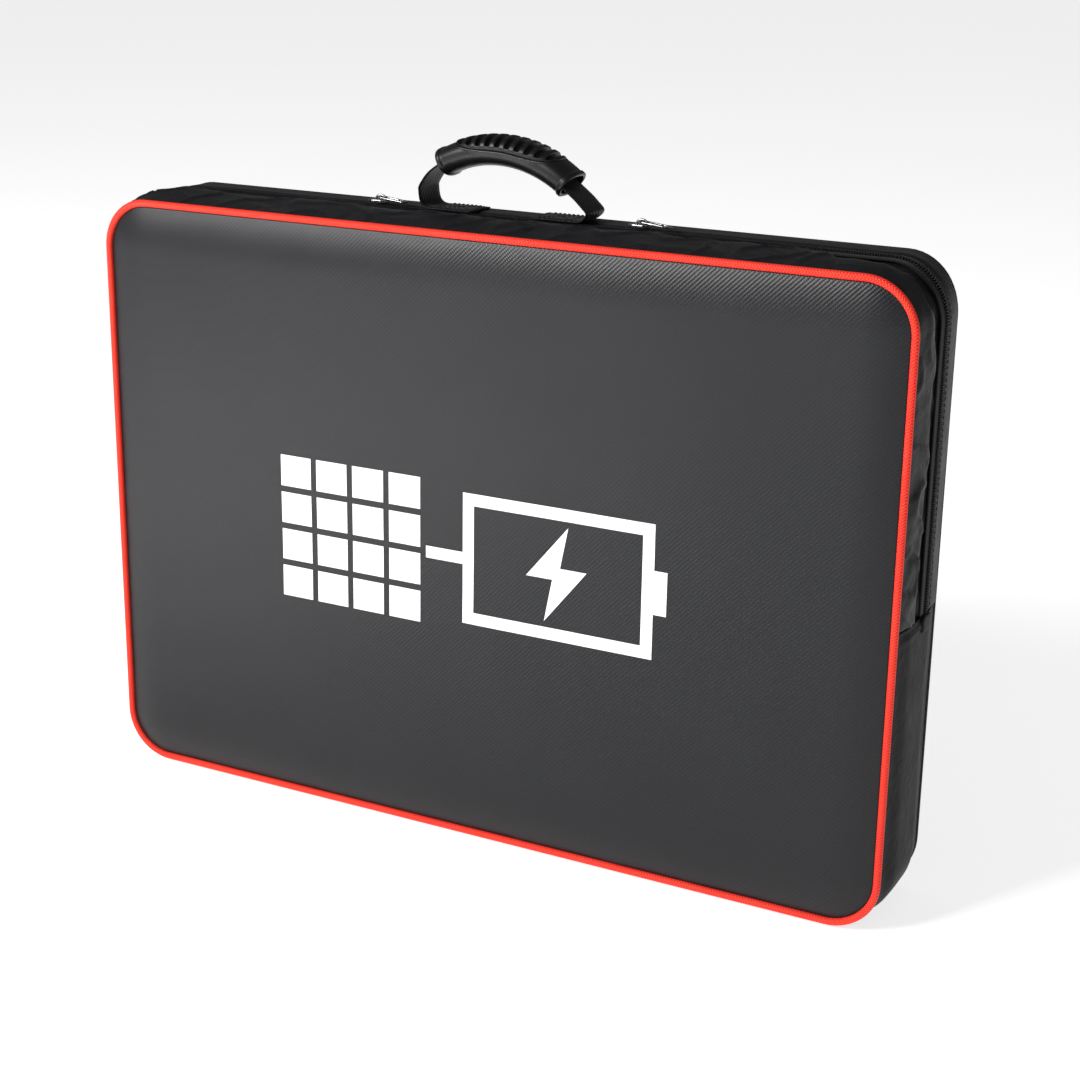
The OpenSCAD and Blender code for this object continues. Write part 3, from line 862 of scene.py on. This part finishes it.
def fold_spine():
    """Cloth along the bottom of both leaves."""
    rear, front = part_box("rear_leaf_backing"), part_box("front_leaf_backing")
    half = rear[1].x - 12 * MM
    xs = np.linspace(-half, half, 60)
    ys = np.linspace(front[0].y + 1 * MM, rear[1].y - 1 * MM, 26)
    middle, deep = (ys[0] + ys[-1]) / 2, (ys[-1] - ys[0]) / 2
    outer, inner, uv = grids(len(xs), len(ys))
    for i, x in enumerate(xs):
        for j, y in enumerate(ys):
            round_off = 1.3 * MM * ((y - middle) / deep) ** 4
            sink = 0.25 * MM * rough01(x / 0.03, y / 0.01, 1.0)
            outer[i, j] = x, y, rear[0].z - 1.5 * MM + round_off + sink
            inner[i, j] = x, y, rear[0].z - 0.5 * MM + round_off * 0.5 + sink
            uv[i, j] = x, y
    return shell("spine_cloth", outer, inner, uv), 2 * half, 2 * deep


# ---------------------------------------------------------------- materials
def node(mat, kind, inputs=None, **settings):
    made = mat.node_tree.nodes.new(kind)
    for key, value in settings.items():
        setattr(made, key, value)
    for key, value in (inputs or {}).items():
        if isinstance(value, bpy.types.NodeSocket):
            mat.node_tree.links.new(value, made.inputs[key])
        else:
            made.inputs[key].default_value = value
    return made


def maths(mat, operation, a, b=0.0, clamp=False):
    return node(mat, "ShaderNodeMath", {0: a, 1: b}, operation=operation, use_clamp=clamp).outputs[0]


def ramp(mat, factor, stops):
    made = node(mat, "ShaderNodeValToRGB", {"Fac": factor})
    elements = made.color_ramp.elements
    while len(elements) < len(stops):
        elements.new(0.5)
    for element, (place, colour) in zip(elements, stops):
        element.position = place
        element.color = (*colour, 1)
    return made.outputs["Color"]


def base(name, roughness, **sockets):
    """A material with its constant values on the shader's own sockets."""
    mat = bpy.data.materials.new(name)
    mat.use_nodes = True
    shader = mat.node_tree.nodes["Principled BSDF"]
    shader.inputs["Roughness"].default_value = roughness
    for key, value in sockets.items():
        shader.inputs[key.replace("_", " ")].default_value = value
    return mat, shader


def place(mat, coords):
    return node(mat, "ShaderNodeTexCoord").outputs[coords]


def texture(mat, where, size, detail=3.0, roughness=0.55):
    """Soft noise whose blotches are about `size` metres across."""
    return node(mat, "ShaderNodeTexNoise", {"Vector": where, "Scale": 1 / size, "Detail": detail,
                                            "Roughness": roughness}).outputs["Fac"]


def stripes(mat, where, pitch, direction="DIAGONAL", turn=0.0):
    """Bands a pitch apart, from 0 to 1."""
    if turn:
        where = node(mat, "ShaderNodeVectorRotate", {"Vector": where, "Angle": math.radians(turn)},
                     rotation_type="Z_AXIS").outputs[0]
    scale = 2 * math.pi / (20 * pitch)
    if direction == "DIAGONAL":
        scale /= math.sqrt(2)
    return node(mat, "ShaderNodeTexWave", {"Vector": where, "Scale": scale, "Distortion": 0.0},
                wave_type="BANDS", bands_direction=direction).outputs["Fac"]


def bump(mat, shader, height, strength, distance):
    made = node(mat, "ShaderNodeBump", {"Height": height, "Strength": strength, "Distance": distance})
    mat.node_tree.links.new(made.outputs["Normal"], shader.inputs["Normal"])


def link(mat, socket, shader, key):
    mat.node_tree.links.new(socket, shader.inputs[key])


def mixed(mat, *parts):
    """The weighted sum of some (socket, weight) parts."""
    weighted = [maths(mat, "MULTIPLY", socket, weight) for socket, weight in parts]
    total = weighted[0]
    for part in weighted[1:]:
        total = maths(mat, "ADD", total, part)
    return total


def tint(mat, shader, shade, stops):
    link(mat, ramp(mat, shade, stops), shader, "Base Color")


def dull(mat, shader, slow, spread, least):
    """Roughness that changes slowly, from least upwards."""
    link(mat, maths(mat, "ADD", maths(mat, "MULTIPLY", slow, spread), least), shader, "Roughness")


def woven(name, dark, light, pitch, roughness, weave_depth, coords="UV", sheen=0.06, blotch=0.04, twill=True,
          mottle=0.5, rough_spread=0.1, gloss=0.22, wrinkle=0.0):
    """Woven cloth: yarns, slow colour changes, uneven gloss."""
    mat, shader = base(name, roughness, Sheen_Weight=sheen, Sheen_Roughness=0.4, Specular_IOR_Level=gloss)
    where = place(mat, coords)
    if twill:
        weave = mixed(mat, (stripes(mat, where, pitch, turn=90), 0.65),
                      (stripes(mat, where, pitch * 0.62), 0.35))
    else:
        weave = mixed(mat, (stripes(mat, where, pitch, "X"), 0.5), (stripes(mat, where, pitch, "Y"), 0.5))
    slow, grain = texture(mat, where, blotch), texture(mat, where, pitch * 1.7, 2.0)
    tint(mat, shader, mixed(mat, (slow, mottle), (weave, 0.25), (grain, 0.2)), [(0.25, dark), (0.85, light)])
    dull(mat, shader, slow, rough_spread, roughness - rough_spread / 2)
    height = maths(mat, "ADD", weave, maths(mat, "MULTIPLY", grain, 0.5))
    if wrinkle:
        creases = node(mat, "ShaderNodeTexNoise", {"Vector": where, "Scale": 90.0, "Detail": 2.0,
                                                   "Distortion": 1.2}).outputs["Fac"]
        height = maths(mat, "ADD", height, maths(mat, "MULTIPLY", creases, wrinkle / weave_depth))
    bump(mat, shader, height, 1.0, weave_depth)
    return mat


def braid():
    """Red cord: two sets of strands that cross round it."""
    mat, shader = base("piping_braid", 0.42, Specular_IOR_Level=0.14)
    where = place(mat, "UV")
    split = node(mat, "ShaderNodeSeparateXYZ", {"Vector": where})
    zigzag = maths(mat, "PINGPONG", split.outputs["Y"], 2.12 * MM)
    along = maths(mat, "ADD", split.outputs["X"], zigzag)
    turns = maths(mat, "MULTIPLY", along, 2 * math.pi / (2.2 * MM))
    weave = maths(mat, "ADD", maths(mat, "MULTIPLY", maths(mat, "SINE", turns), 0.5), 0.5)
    slow = texture(mat, where, 0.03)
    tint(mat, shader, mixed(mat, (weave, 0.75), (slow, 0.25)),
         [(0.1, (0.60, 0.016, 0.009)), (0.55, (0.88, 0.034, 0.018)), (0.95, (0.98, 0.085, 0.050))])
    bump(mat, shader, weave, 0.9, 0.22 * MM)
    return mat


def moulded(name, dark, light, roughness, grain=0.7 * MM, depth=0.05 * MM):
    """Moulded plastic: fine spark-eroded grain, slight wear."""
    mat, shader = base(name, roughness, Specular_IOR_Level=0.3)
    where = place(mat, "Object")
    fine, slow = texture(mat, where, grain, 2.0), texture(mat, where, 0.025)
    tint(mat, shader, mixed(mat, (fine, 0.3), (slow, 0.7)), [(0.3, dark), (0.75, light)])
    dull(mat, shader, slow, 0.16, roughness - 0.08)
    bump(mat, shader, fine, 0.6, depth)
    return mat


def metal(name, colour, roughness):
    """Plated metal, with rubbed and dull places."""
    mat, shader = base(name, roughness, Metallic=1.0)
    where = place(mat, "Object")
    slow, scratch = texture(mat, where, 4 * MM), texture(mat, where, 0.6 * MM)
    worn = [c * 0.55 for c in colour]
    tint(mat, shader, slow, [(0.35, worn), (0.6, colour)])
    dull(mat, shader, slow, 0.25, roughness - 0.1)
    bump(mat, shader, scratch, 0.2, 0.01 * MM)
    return mat


def foam(name, dark, light):
    """Closed-cell foam with small pores."""
    mat, shader = base(name, 0.85)
    where = place(mat, "Object")
    pores = node(mat, "ShaderNodeTexVoronoi", {"Vector": where, "Scale": 1 / (1.5 * MM)}).outputs["Distance"]
    slow = texture(mat, where, 0.02)
    tint(mat, shader, mixed(mat, (pores, 0.4), (slow, 0.5)), [(0.2, dark), (0.8, light)])
    bump(mat, shader, pores, 0.7, 0.25 * MM)
    return mat


def solar_cells():
    """Dark silicon with silver contact lines: a few wide ones up, many fine ones across."""
    mat, shader = base("silicon", 0.25, Specular_IOR_Level=0.6, Coat_Weight=0.4, Coat_Roughness=0.15)
    where = place(mat, "Object")
    split = node(mat, "ShaderNodeSeparateXYZ", {"Vector": where})

    def lines(value, pitch, wide):
        t = maths(mat, "FRACT", maths(mat, "DIVIDE", value, pitch))
        return maths(mat, "LESS_THAN", t, wide / pitch)

    bars = lines(split.outputs["X"], 15.3 * MM, 0.9 * MM)
    fingers = maths(mat, "MULTIPLY", lines(split.outputs["Z"], 2.2 * MM, 0.25 * MM), 0.25)
    silver = maths(mat, "MAXIMUM", bars, fingers)
    slow = texture(mat, where, 0.03)
    tint(mat, shader, mixed(mat, (slow, 0.3), (silver, 0.7)),
         [(0.05, (0.003, 0.006, 0.020)), (0.3, (0.008, 0.018, 0.055)), (0.75, (0.35, 0.36, 0.38))])
    return mat


def clear_film():
    """Clear film embossed with small dots."""
    mat, shader = base("embossed_film", 0.22, Alpha=0.16, Coat_Weight=0.6, Coat_Roughness=0.2)
    where = place(mat, "Object")
    dots = node(mat, "ShaderNodeTexVoronoi", {"Vector": where, "Scale": 1 / (2.2 * MM)}).outputs["Distance"]
    tint(mat, shader, texture(mat, where, 0.05), [(0.3, (0.05, 0.07, 0.12)), (0.8, (0.09, 0.12, 0.2))])
    bump(mat, shader, dots, 0.5, 0.2 * MM)
    return mat


def ink():
    """White print that the weave shows through."""
    mat, shader = base("white_ink", 0.55, Specular_IOR_Level=0.3)
    where = place(mat, "UV")
    weave, slow = stripes(mat, where, 1.5 * MM), texture(mat, where, 0.02)
    tint(mat, shader, mixed(mat, (slow, 0.6), (weave, 0.4)),
         [(0.1, (0.80, 0.80, 0.81)), (0.9, (0.97, 0.97, 0.97))])
    bump(mat, shader, weave, 0.5, 0.1 * MM)
    return mat


FACE_CLOTH = woven("face_twill", (0.007, 0.0073, 0.0085), (0.019, 0.0195, 0.022), 1.2 * MM, 0.36, 0.13 * MM,
                   blotch=0.09, mottle=0.25, gloss=0.26, sheen=0.0, rough_spread=0.06)
GUSSET_CLOTH = woven("gusset_nylon", (0.004, 0.0042, 0.005), (0.016, 0.0165, 0.0185), 0.9 * MM, 0.44,
                     0.08 * MM, blotch=0.03, twill=False, rough_spread=0.2, gloss=0.15, sheen=0.02,
                     wrinkle=0.8 * MM)
# The lower nylon is the gusset nylon made darker and duller: painted shade for the case's lower side, which
# lies in shade.
SHADED_LOWER_CLOTH = woven("lower_nylon_painted_shade", (0.002, 0.0021, 0.0025), (0.008, 0.0083, 0.0095), 0.9 * MM, 0.5,
                    0.08 * MM, blotch=0.03, twill=False, rough_spread=0.2, gloss=0.07, sheen=0.01,
                    wrinkle=0.8 * MM)
BACK_CLOTH = woven("back_nylon", (0.005, 0.0053, 0.006), (0.017, 0.0175, 0.020), 1.2 * MM, 0.5, 0.2 * MM,
                   blotch=0.06, gloss=0.18, sheen=0.02)
TAPE_CLOTH = woven("zip_tape", (0.003, 0.003, 0.0033), (0.010, 0.010, 0.011), 1.1 * MM, 0.6, 0.25 * MM,
                   blotch=0.02, gloss=0.15)
TAB_CLOTH = woven("zip_tab", (0.003, 0.003, 0.0033), (0.010, 0.010, 0.011), 1.1 * MM, 0.6, 0.2 * MM,
                  coords="Object", blotch=0.02, gloss=0.15)
WEBBING = woven("strap_webbing", (0.0025, 0.0025, 0.0028), (0.010, 0.010, 0.011), 1.5 * MM, 0.5, 0.28 * MM,
                blotch=0.02, gloss=0.18)
LINING = woven("lining", (0.030, 0.031, 0.034), (0.060, 0.062, 0.067), 1.0 * MM, 0.6, 0.08 * MM,
               coords="Object", twill=False)
BASE_CLOTH = woven("base_cloth", (0.020, 0.021, 0.023), (0.050, 0.051, 0.056), 1.0 * MM, 0.6, 0.1 * MM,
                   twill=False)
LEAF_CLOTH = woven("leaf_oxford", (0.010, 0.011, 0.013), (0.028, 0.030, 0.034), 1.6 * MM, 0.55, 0.25 * MM,
                   twill=False)
LEAF_HEM = woven("leaf_hem_tape", (0.007, 0.007, 0.009), (0.020, 0.021, 0.024), 1.3 * MM, 0.55, 0.3 * MM)
PIPING = braid()
GRIP_PLASTIC = moulded("grip_plastic", (0.003, 0.003, 0.0034), (0.008, 0.008, 0.009), 0.36)
RIB_PLASTIC = moulded("rib_rubber", (0.0025, 0.0025, 0.003), (0.007, 0.007, 0.008), 0.4)
BOX_PLASTIC = moulded("box_plastic", (0.008, 0.008, 0.009), (0.022, 0.022, 0.024), 0.45)
COIL_NYLON = moulded("coil_nylon", (0.003, 0.003, 0.0035), (0.011, 0.011, 0.012), 0.3, depth=0.02 * MM)
THREAD = moulded("thread", (0.006, 0.006, 0.007), (0.022, 0.022, 0.024), 0.6)
ZIP_METAL = metal("nickel", (0.36, 0.365, 0.38), 0.24)
EYELET_METAL = metal("eyelet", (0.72, 0.72, 0.74), 0.35)
FOAM = foam("foam_board", (0.06, 0.06, 0.063), (0.13, 0.13, 0.135))
CORE = foam("leaf_core_foam", (0.2, 0.2, 0.21), (0.36, 0.36, 0.37))
SILICON = solar_cells()
FILM = clear_film()
INK = ink()


def paint(piece, mat):
    piece.data.materials.clear()
    piece.data.materials.append(mat)


def finish_piece(piece, mat, body=None):
    paint(piece, mat)
    if body:
        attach(piece, body)


def bend_over_fold(piece):
    """Bakes a piece's placing into its mesh."""
    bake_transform(piece)


# ---------------------------------------------------------------- put it together
def make_covers():
    face = front_face()
    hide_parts("flap_panel", "pocket_panel")
    finish_piece(face, FACE_CLOTH)
    sign = front_print()
    finish_piece(sign, INK)
    cord = sweep("piping_cord", at_y(seam_path("loop", 2.2 * MM), PIPE_Y), circle(PIPE_R), closed=True)
    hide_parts("flap_piping", "pocket_piping")
    finish_piece(cord, PIPING)
    for piece in (face, sign, cord):
        bend_over_fold(piece)
    cover = back_cover()
    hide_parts("back_panel")
    finish_piece(cover, BACK_CLOTH, "case")
    points, normals = at_y(seam_path("loop", 4 * MM), BACK_Y - 2.2 * MM)
    points = points + np.array([n * (back_seat(n) - 1.4 * MM) for n in normals])
    welt = sweep("back_seam_welt", (points, normals), circle(1.5 * MM, 10), closed=True)
    finish_piece(welt, GUSSET_CLOTH, "case")


def make_gussets():
    front, rear, lower = gussets()
    for piece, node_name, body in ((front, "front_gusset", "flap"), (rear, "rear_gusset", "case"),
                                   (lower, "lower_gusset", "case")):
        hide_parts(node_name)
        # The lower strip takes the darker copy of the gusset nylon, whose extra darkness is painted shade.
        finish_piece(piece, SHADED_LOWER_CLOTH if piece is lower else GUSSET_CLOTH, body)


def make_zip():
    front = tape("front_tape", TAPE_FRONT[0].y - 4 * MM, ZIP_Y - 0.2 * MM)
    rear = tape("rear_tape", ZIP_Y + 0.2 * MM, TAPE_REAR[1].y + 4 * MM)
    for piece, node_name, body in ((front, "front_zip_tape", "flap"), (rear, "rear_zip_tape", "case")):
        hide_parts(node_name)
        finish_piece(piece, TAPE_CLOTH, body)
    for name, side, node_name, body in (("front_coil", -1, "front_zip_coil", "flap"),
                                        ("rear_coil", 1, "rear_zip_coil", "case")):
        piece = coil(name, side)
        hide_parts(node_name)
        finish_piece(piece, COIL_NYLON, body)
    for side in ("left", "right"):
        body = slider("zip_slider_" + side, "slider_" + side)
        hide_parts("slider_" + side)
        finish_piece(body, ZIP_METAL, "slider_" + side)
        loop = pull("wire_pull_" + side, "pull_" + side + "_swing")
        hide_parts("pull_" + side)
        finish_piece(loop, ZIP_METAL, "pull_" + side)
    tabs = joined("zip_end_patches", [zip_end(-1), zip_end(1)])
    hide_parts("zip_end_tabs")
    finish_piece(tabs, TAB_CLOTH, "case")


def make_handle():
    grip = handle_grip()
    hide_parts("handle_grip")
    finish_piece(grip, GRIP_PLASTIC, "handle")
    ribs = grip_insert()
    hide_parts("grip_insert")
    finish_piece(ribs, RIB_PLASTIC, "handle")
    strap, run = webbing()
    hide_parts("handle_feet", "handle_legs")
    finish_piece(strap, WEBBING)
    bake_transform(strap)
    lines = []
    for sign in (-1, 1):
        lines += box_stitch(HANDLE_X + sign * (FOOT_IN + 3 * MM), HANDLE_X + sign * (LEG_X - 12 * MM),
                            WEB_HALF - 3 * MM, FOOT_Z + WEB_T / 2)
    thread = stitches("foot_thread", lines, every=3.6 * MM)
    finish_piece(thread, THREAD, "case")


def make_seam_thread():
    """Sewing along the rear strip, beside the zip."""
    step, seam_y = 4 * MM, TAPE_REAR[1].y + 1.5 * MM
    points, normals = trimmed(seam_path("upper", step), 2 * MM)
    share = (seam_y - REAR_STRIP_Y) / (STRIP_BACK_Y - REAR_STRIP_Y)
    high = np.array([rear_strip_out(k * step, share, n) for k, n in enumerate(normals)])
    points = points + normals * high[:, None] + np.array([0, seam_y, 0])
    thread = stitches("rear_tape_thread", [(points, normals)])
    finish_piece(thread, THREAD, "case")


def make_blanket():
    leaf("rear_leaf", 1)
    leaf("front_leaf", -1)
    spine, width, deep = fold_spine()
    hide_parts("fold_spine")
    finish_piece(spine, LEAF_HEM)
    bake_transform(spine)
    for prefix in ("rear_leaf", "front_leaf"):
        for part, mat, slot in (("_core", CORE, "leaf_core"), ("_cells", SILICON, "solar_cell"),
                                ("_film", FILM, "clear_film"), ("_eyelets", EYELET_METAL, "eyelet_metal")):
            finish_piece(frame["nodes"][prefix + part], mat)
    for name in ("junction_box", "junction_lid", "outlet_gland"):
        finish_piece(frame["nodes"][name], BOX_PLASTIC)
        soften(frame["nodes"][name], 0.6 * MM)


def make_boards():
    """The foam boards: soft-edged in the front, plain in the back and the bottom."""
    lo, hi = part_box("pocket_board")
    spans = {"pocket_board": (lo.z + 11 * MM, hi.z, "case"),
             "flap_board": (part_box("flap_board")[0].z, FACE_Z1 - 13 * MM, "flap")}
    for name, (z0, z1, body) in spans.items():
        soft = padded(name + "_foam", FACE_X - 14 * MM, z0, z1, 8 * MM, lo.y + 1 * MM,
                      lambda x, z, d: -0.9 * MM * smooth01(d / (6 * MM)), hi.y, fine=4 * MM, coarse=24 * MM)
        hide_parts(name)
        finish_piece(soft, FOAM, body)
    for name in ("back_board", "base_board"):
        finish_piece(frame["nodes"][name], FOAM)
        soften(frame["nodes"][name], 0.5 * MM)


def make_base_cushion():
    """The covered pad that the blanket stands on."""
    lo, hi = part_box("base_pad")
    along, across = 80, 16
    top, under, uv = grids(along, across)
    for i, x in enumerate(np.linspace(lo.x, hi.x, along)):
        for j, y in enumerate(np.linspace(lo.y, hi.y, across)):
            d = min(x - lo.x, hi.x - x, y - lo.y, hi.y - y)
            crown = 1 - (1 - min(1.0, d / (12 * MM))) ** 2.2
            dent = 0.5 * MM * rough01(x / 0.05, y / 0.03, 4.0)
            top[i, j] = x, y, hi.z - 4.5 * MM + 4.2 * MM * crown + min(0, dent)
            under[i, j] = x, y, lo.z
            uv[i, j] = x, y
    cushion = shell("base_cushion", top, under, uv)
    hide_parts("base_pad")
    finish_piece(cushion, BASE_CLOTH, "case")


def lining(name, nodes, towards, rows=()):
    """Slack lining cloth over one or two boards. towards is the Y direction of its free side."""
    boxes = [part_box(node_name) for node_name in nodes]
    half_x = boxes[0][1].x - 1 * MM
    z0, z1 = min(lo.z for lo, _ in boxes) + 1 * MM, max(hi.z for _, hi in boxes) - 1 * MM
    laid = boxes[0][1].y if towards < 0 else boxes[0][0].y

    def slack(x, z, d):
        wave = 0.45 * MM * rough01(x / 0.09, z / 0.07, 7.7)
        puff = 0.75 * MM + wave + 0.2 * MM * rough01(x / 0.03, z / 0.025, 1.7)
        return towards * (0.3 * MM + max(0.0, puff) * smooth01(d / (14 * MM)))

    cloth = padded(name, half_x, z0, z1, CORNER - 6 * MM, laid, slack, laid, fine=5 * MM, coarse=16 * MM,
                   rows=rows)
    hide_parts(*nodes)
    return cloth


def make_linings():
    back = lining("back_lining_cloth", ("back_lining",), -1)
    finish_piece(back, LINING, "case")
    front = lining("front_lining_cloth", ("pocket_lining", "flap_lining"), 1, FOLD_ROWS)
    finish_piece(front, LINING)
    bend_over_fold(front)


# ---------------------------------------------------------------- camera, floor and light
def make_camera():
    """The photographer's place: from the right and above, with a long lens."""
    size = 2 * HALF_W
    yaw, pitch, roll = (math.radians(a) for a in (27.82, 17.70, 0.86))
    forward = Vector((-math.sin(yaw) * math.cos(pitch), math.cos(yaw) * math.cos(pitch), -math.sin(pitch)))
    level = Vector((math.cos(yaw), math.sin(yaw), 0))
    rise = level.cross(forward)
    right = level * math.cos(roll) + rise * math.sin(roll)
    up = rise * math.cos(roll) - level * math.sin(roll)
    data = bpy.data.cameras.new("camera")
    data.lens, data.sensor_width = 68.2, 36
    camera = placed("camera", data)
    spot = Vector((1.096 * size, PIPE_Y - 1.911 * size, (Z0 + Z1) / 2 + 0.713 * size))
    camera.matrix_world = Matrix.Translation(spot) @ Matrix((right, up, -forward)).transposed().to_4x4()
    bpy.context.scene.camera = camera
    bpy.context.scene.view_settings.view_transform = "Standard"


def area_light(name, spot, target, size, power):
    data = bpy.data.lights.new(name, "AREA")
    data.shape, data.size, data.size_y = "RECTANGLE", size[0], size[1]
    data.energy = power
    light = placed(name, data)
    light.location = spot
    light.rotation_mode = "QUATERNION"
    light.rotation_quaternion = (Vector(target) - Vector(spot)).to_track_quat("-Z", "Y")


def make_floor():
    """A wide white floor that glows a little, so that it stays white under dim light."""
    far = 40
    corners = [(-far, -far, 0), (far, -far, 0), (far, far, 0), (-far, far, 0)]
    floor = new_mesh("floor", corners, [(0, 1, 2, 3)], smooth=False)
    mat, shader = base("floor_white", 0.9, Specular_IOR_Level=0.1, Emission_Color=(1, 1, 1, 1),
                       Emission_Strength=0.72)
    shade = texture(mat, place(mat, "Object"), 0.6)
    tint(mat, shader, shade, [(0.3, (0.93, 0.93, 0.932)), (0.7, (0.95, 0.95, 0.952))])
    paint(floor, mat)


def make_lights():
    world = bpy.data.worlds.new("studio")
    bpy.context.scene.world = world
    world.use_nodes = True
    sky = world.node_tree.nodes["Background"]
    sky.inputs["Color"].default_value = (1, 1, 1, 1)
    sky.inputs["Strength"].default_value = 0.14
    area_light("key", (-1.5, -2.4, 1.9), (-0.08, 0, 0.3), (1.3, 1.0), 125)
    area_light("rim", (2.0, 0.1, 1.7), (0.3, 0, 0.4), (0.5, 0.5), 3.8)
    bounce = bpy.data.lights.new("bounce", "SPOT")
    bounce.energy, bounce.spot_size, bounce.spot_blend = 800, math.radians(34), 1.0
    bounce.shadow_soft_size = 0.3
    placed("bounce", bounce).location = (-0.66, -0.88, 1.8)


make_camera()
make_covers()
make_gussets()
make_zip()
make_handle()
make_seam_thread()
make_blanket()
make_boards()
make_base_cushion()
make_linings()
make_floor()
make_lights()
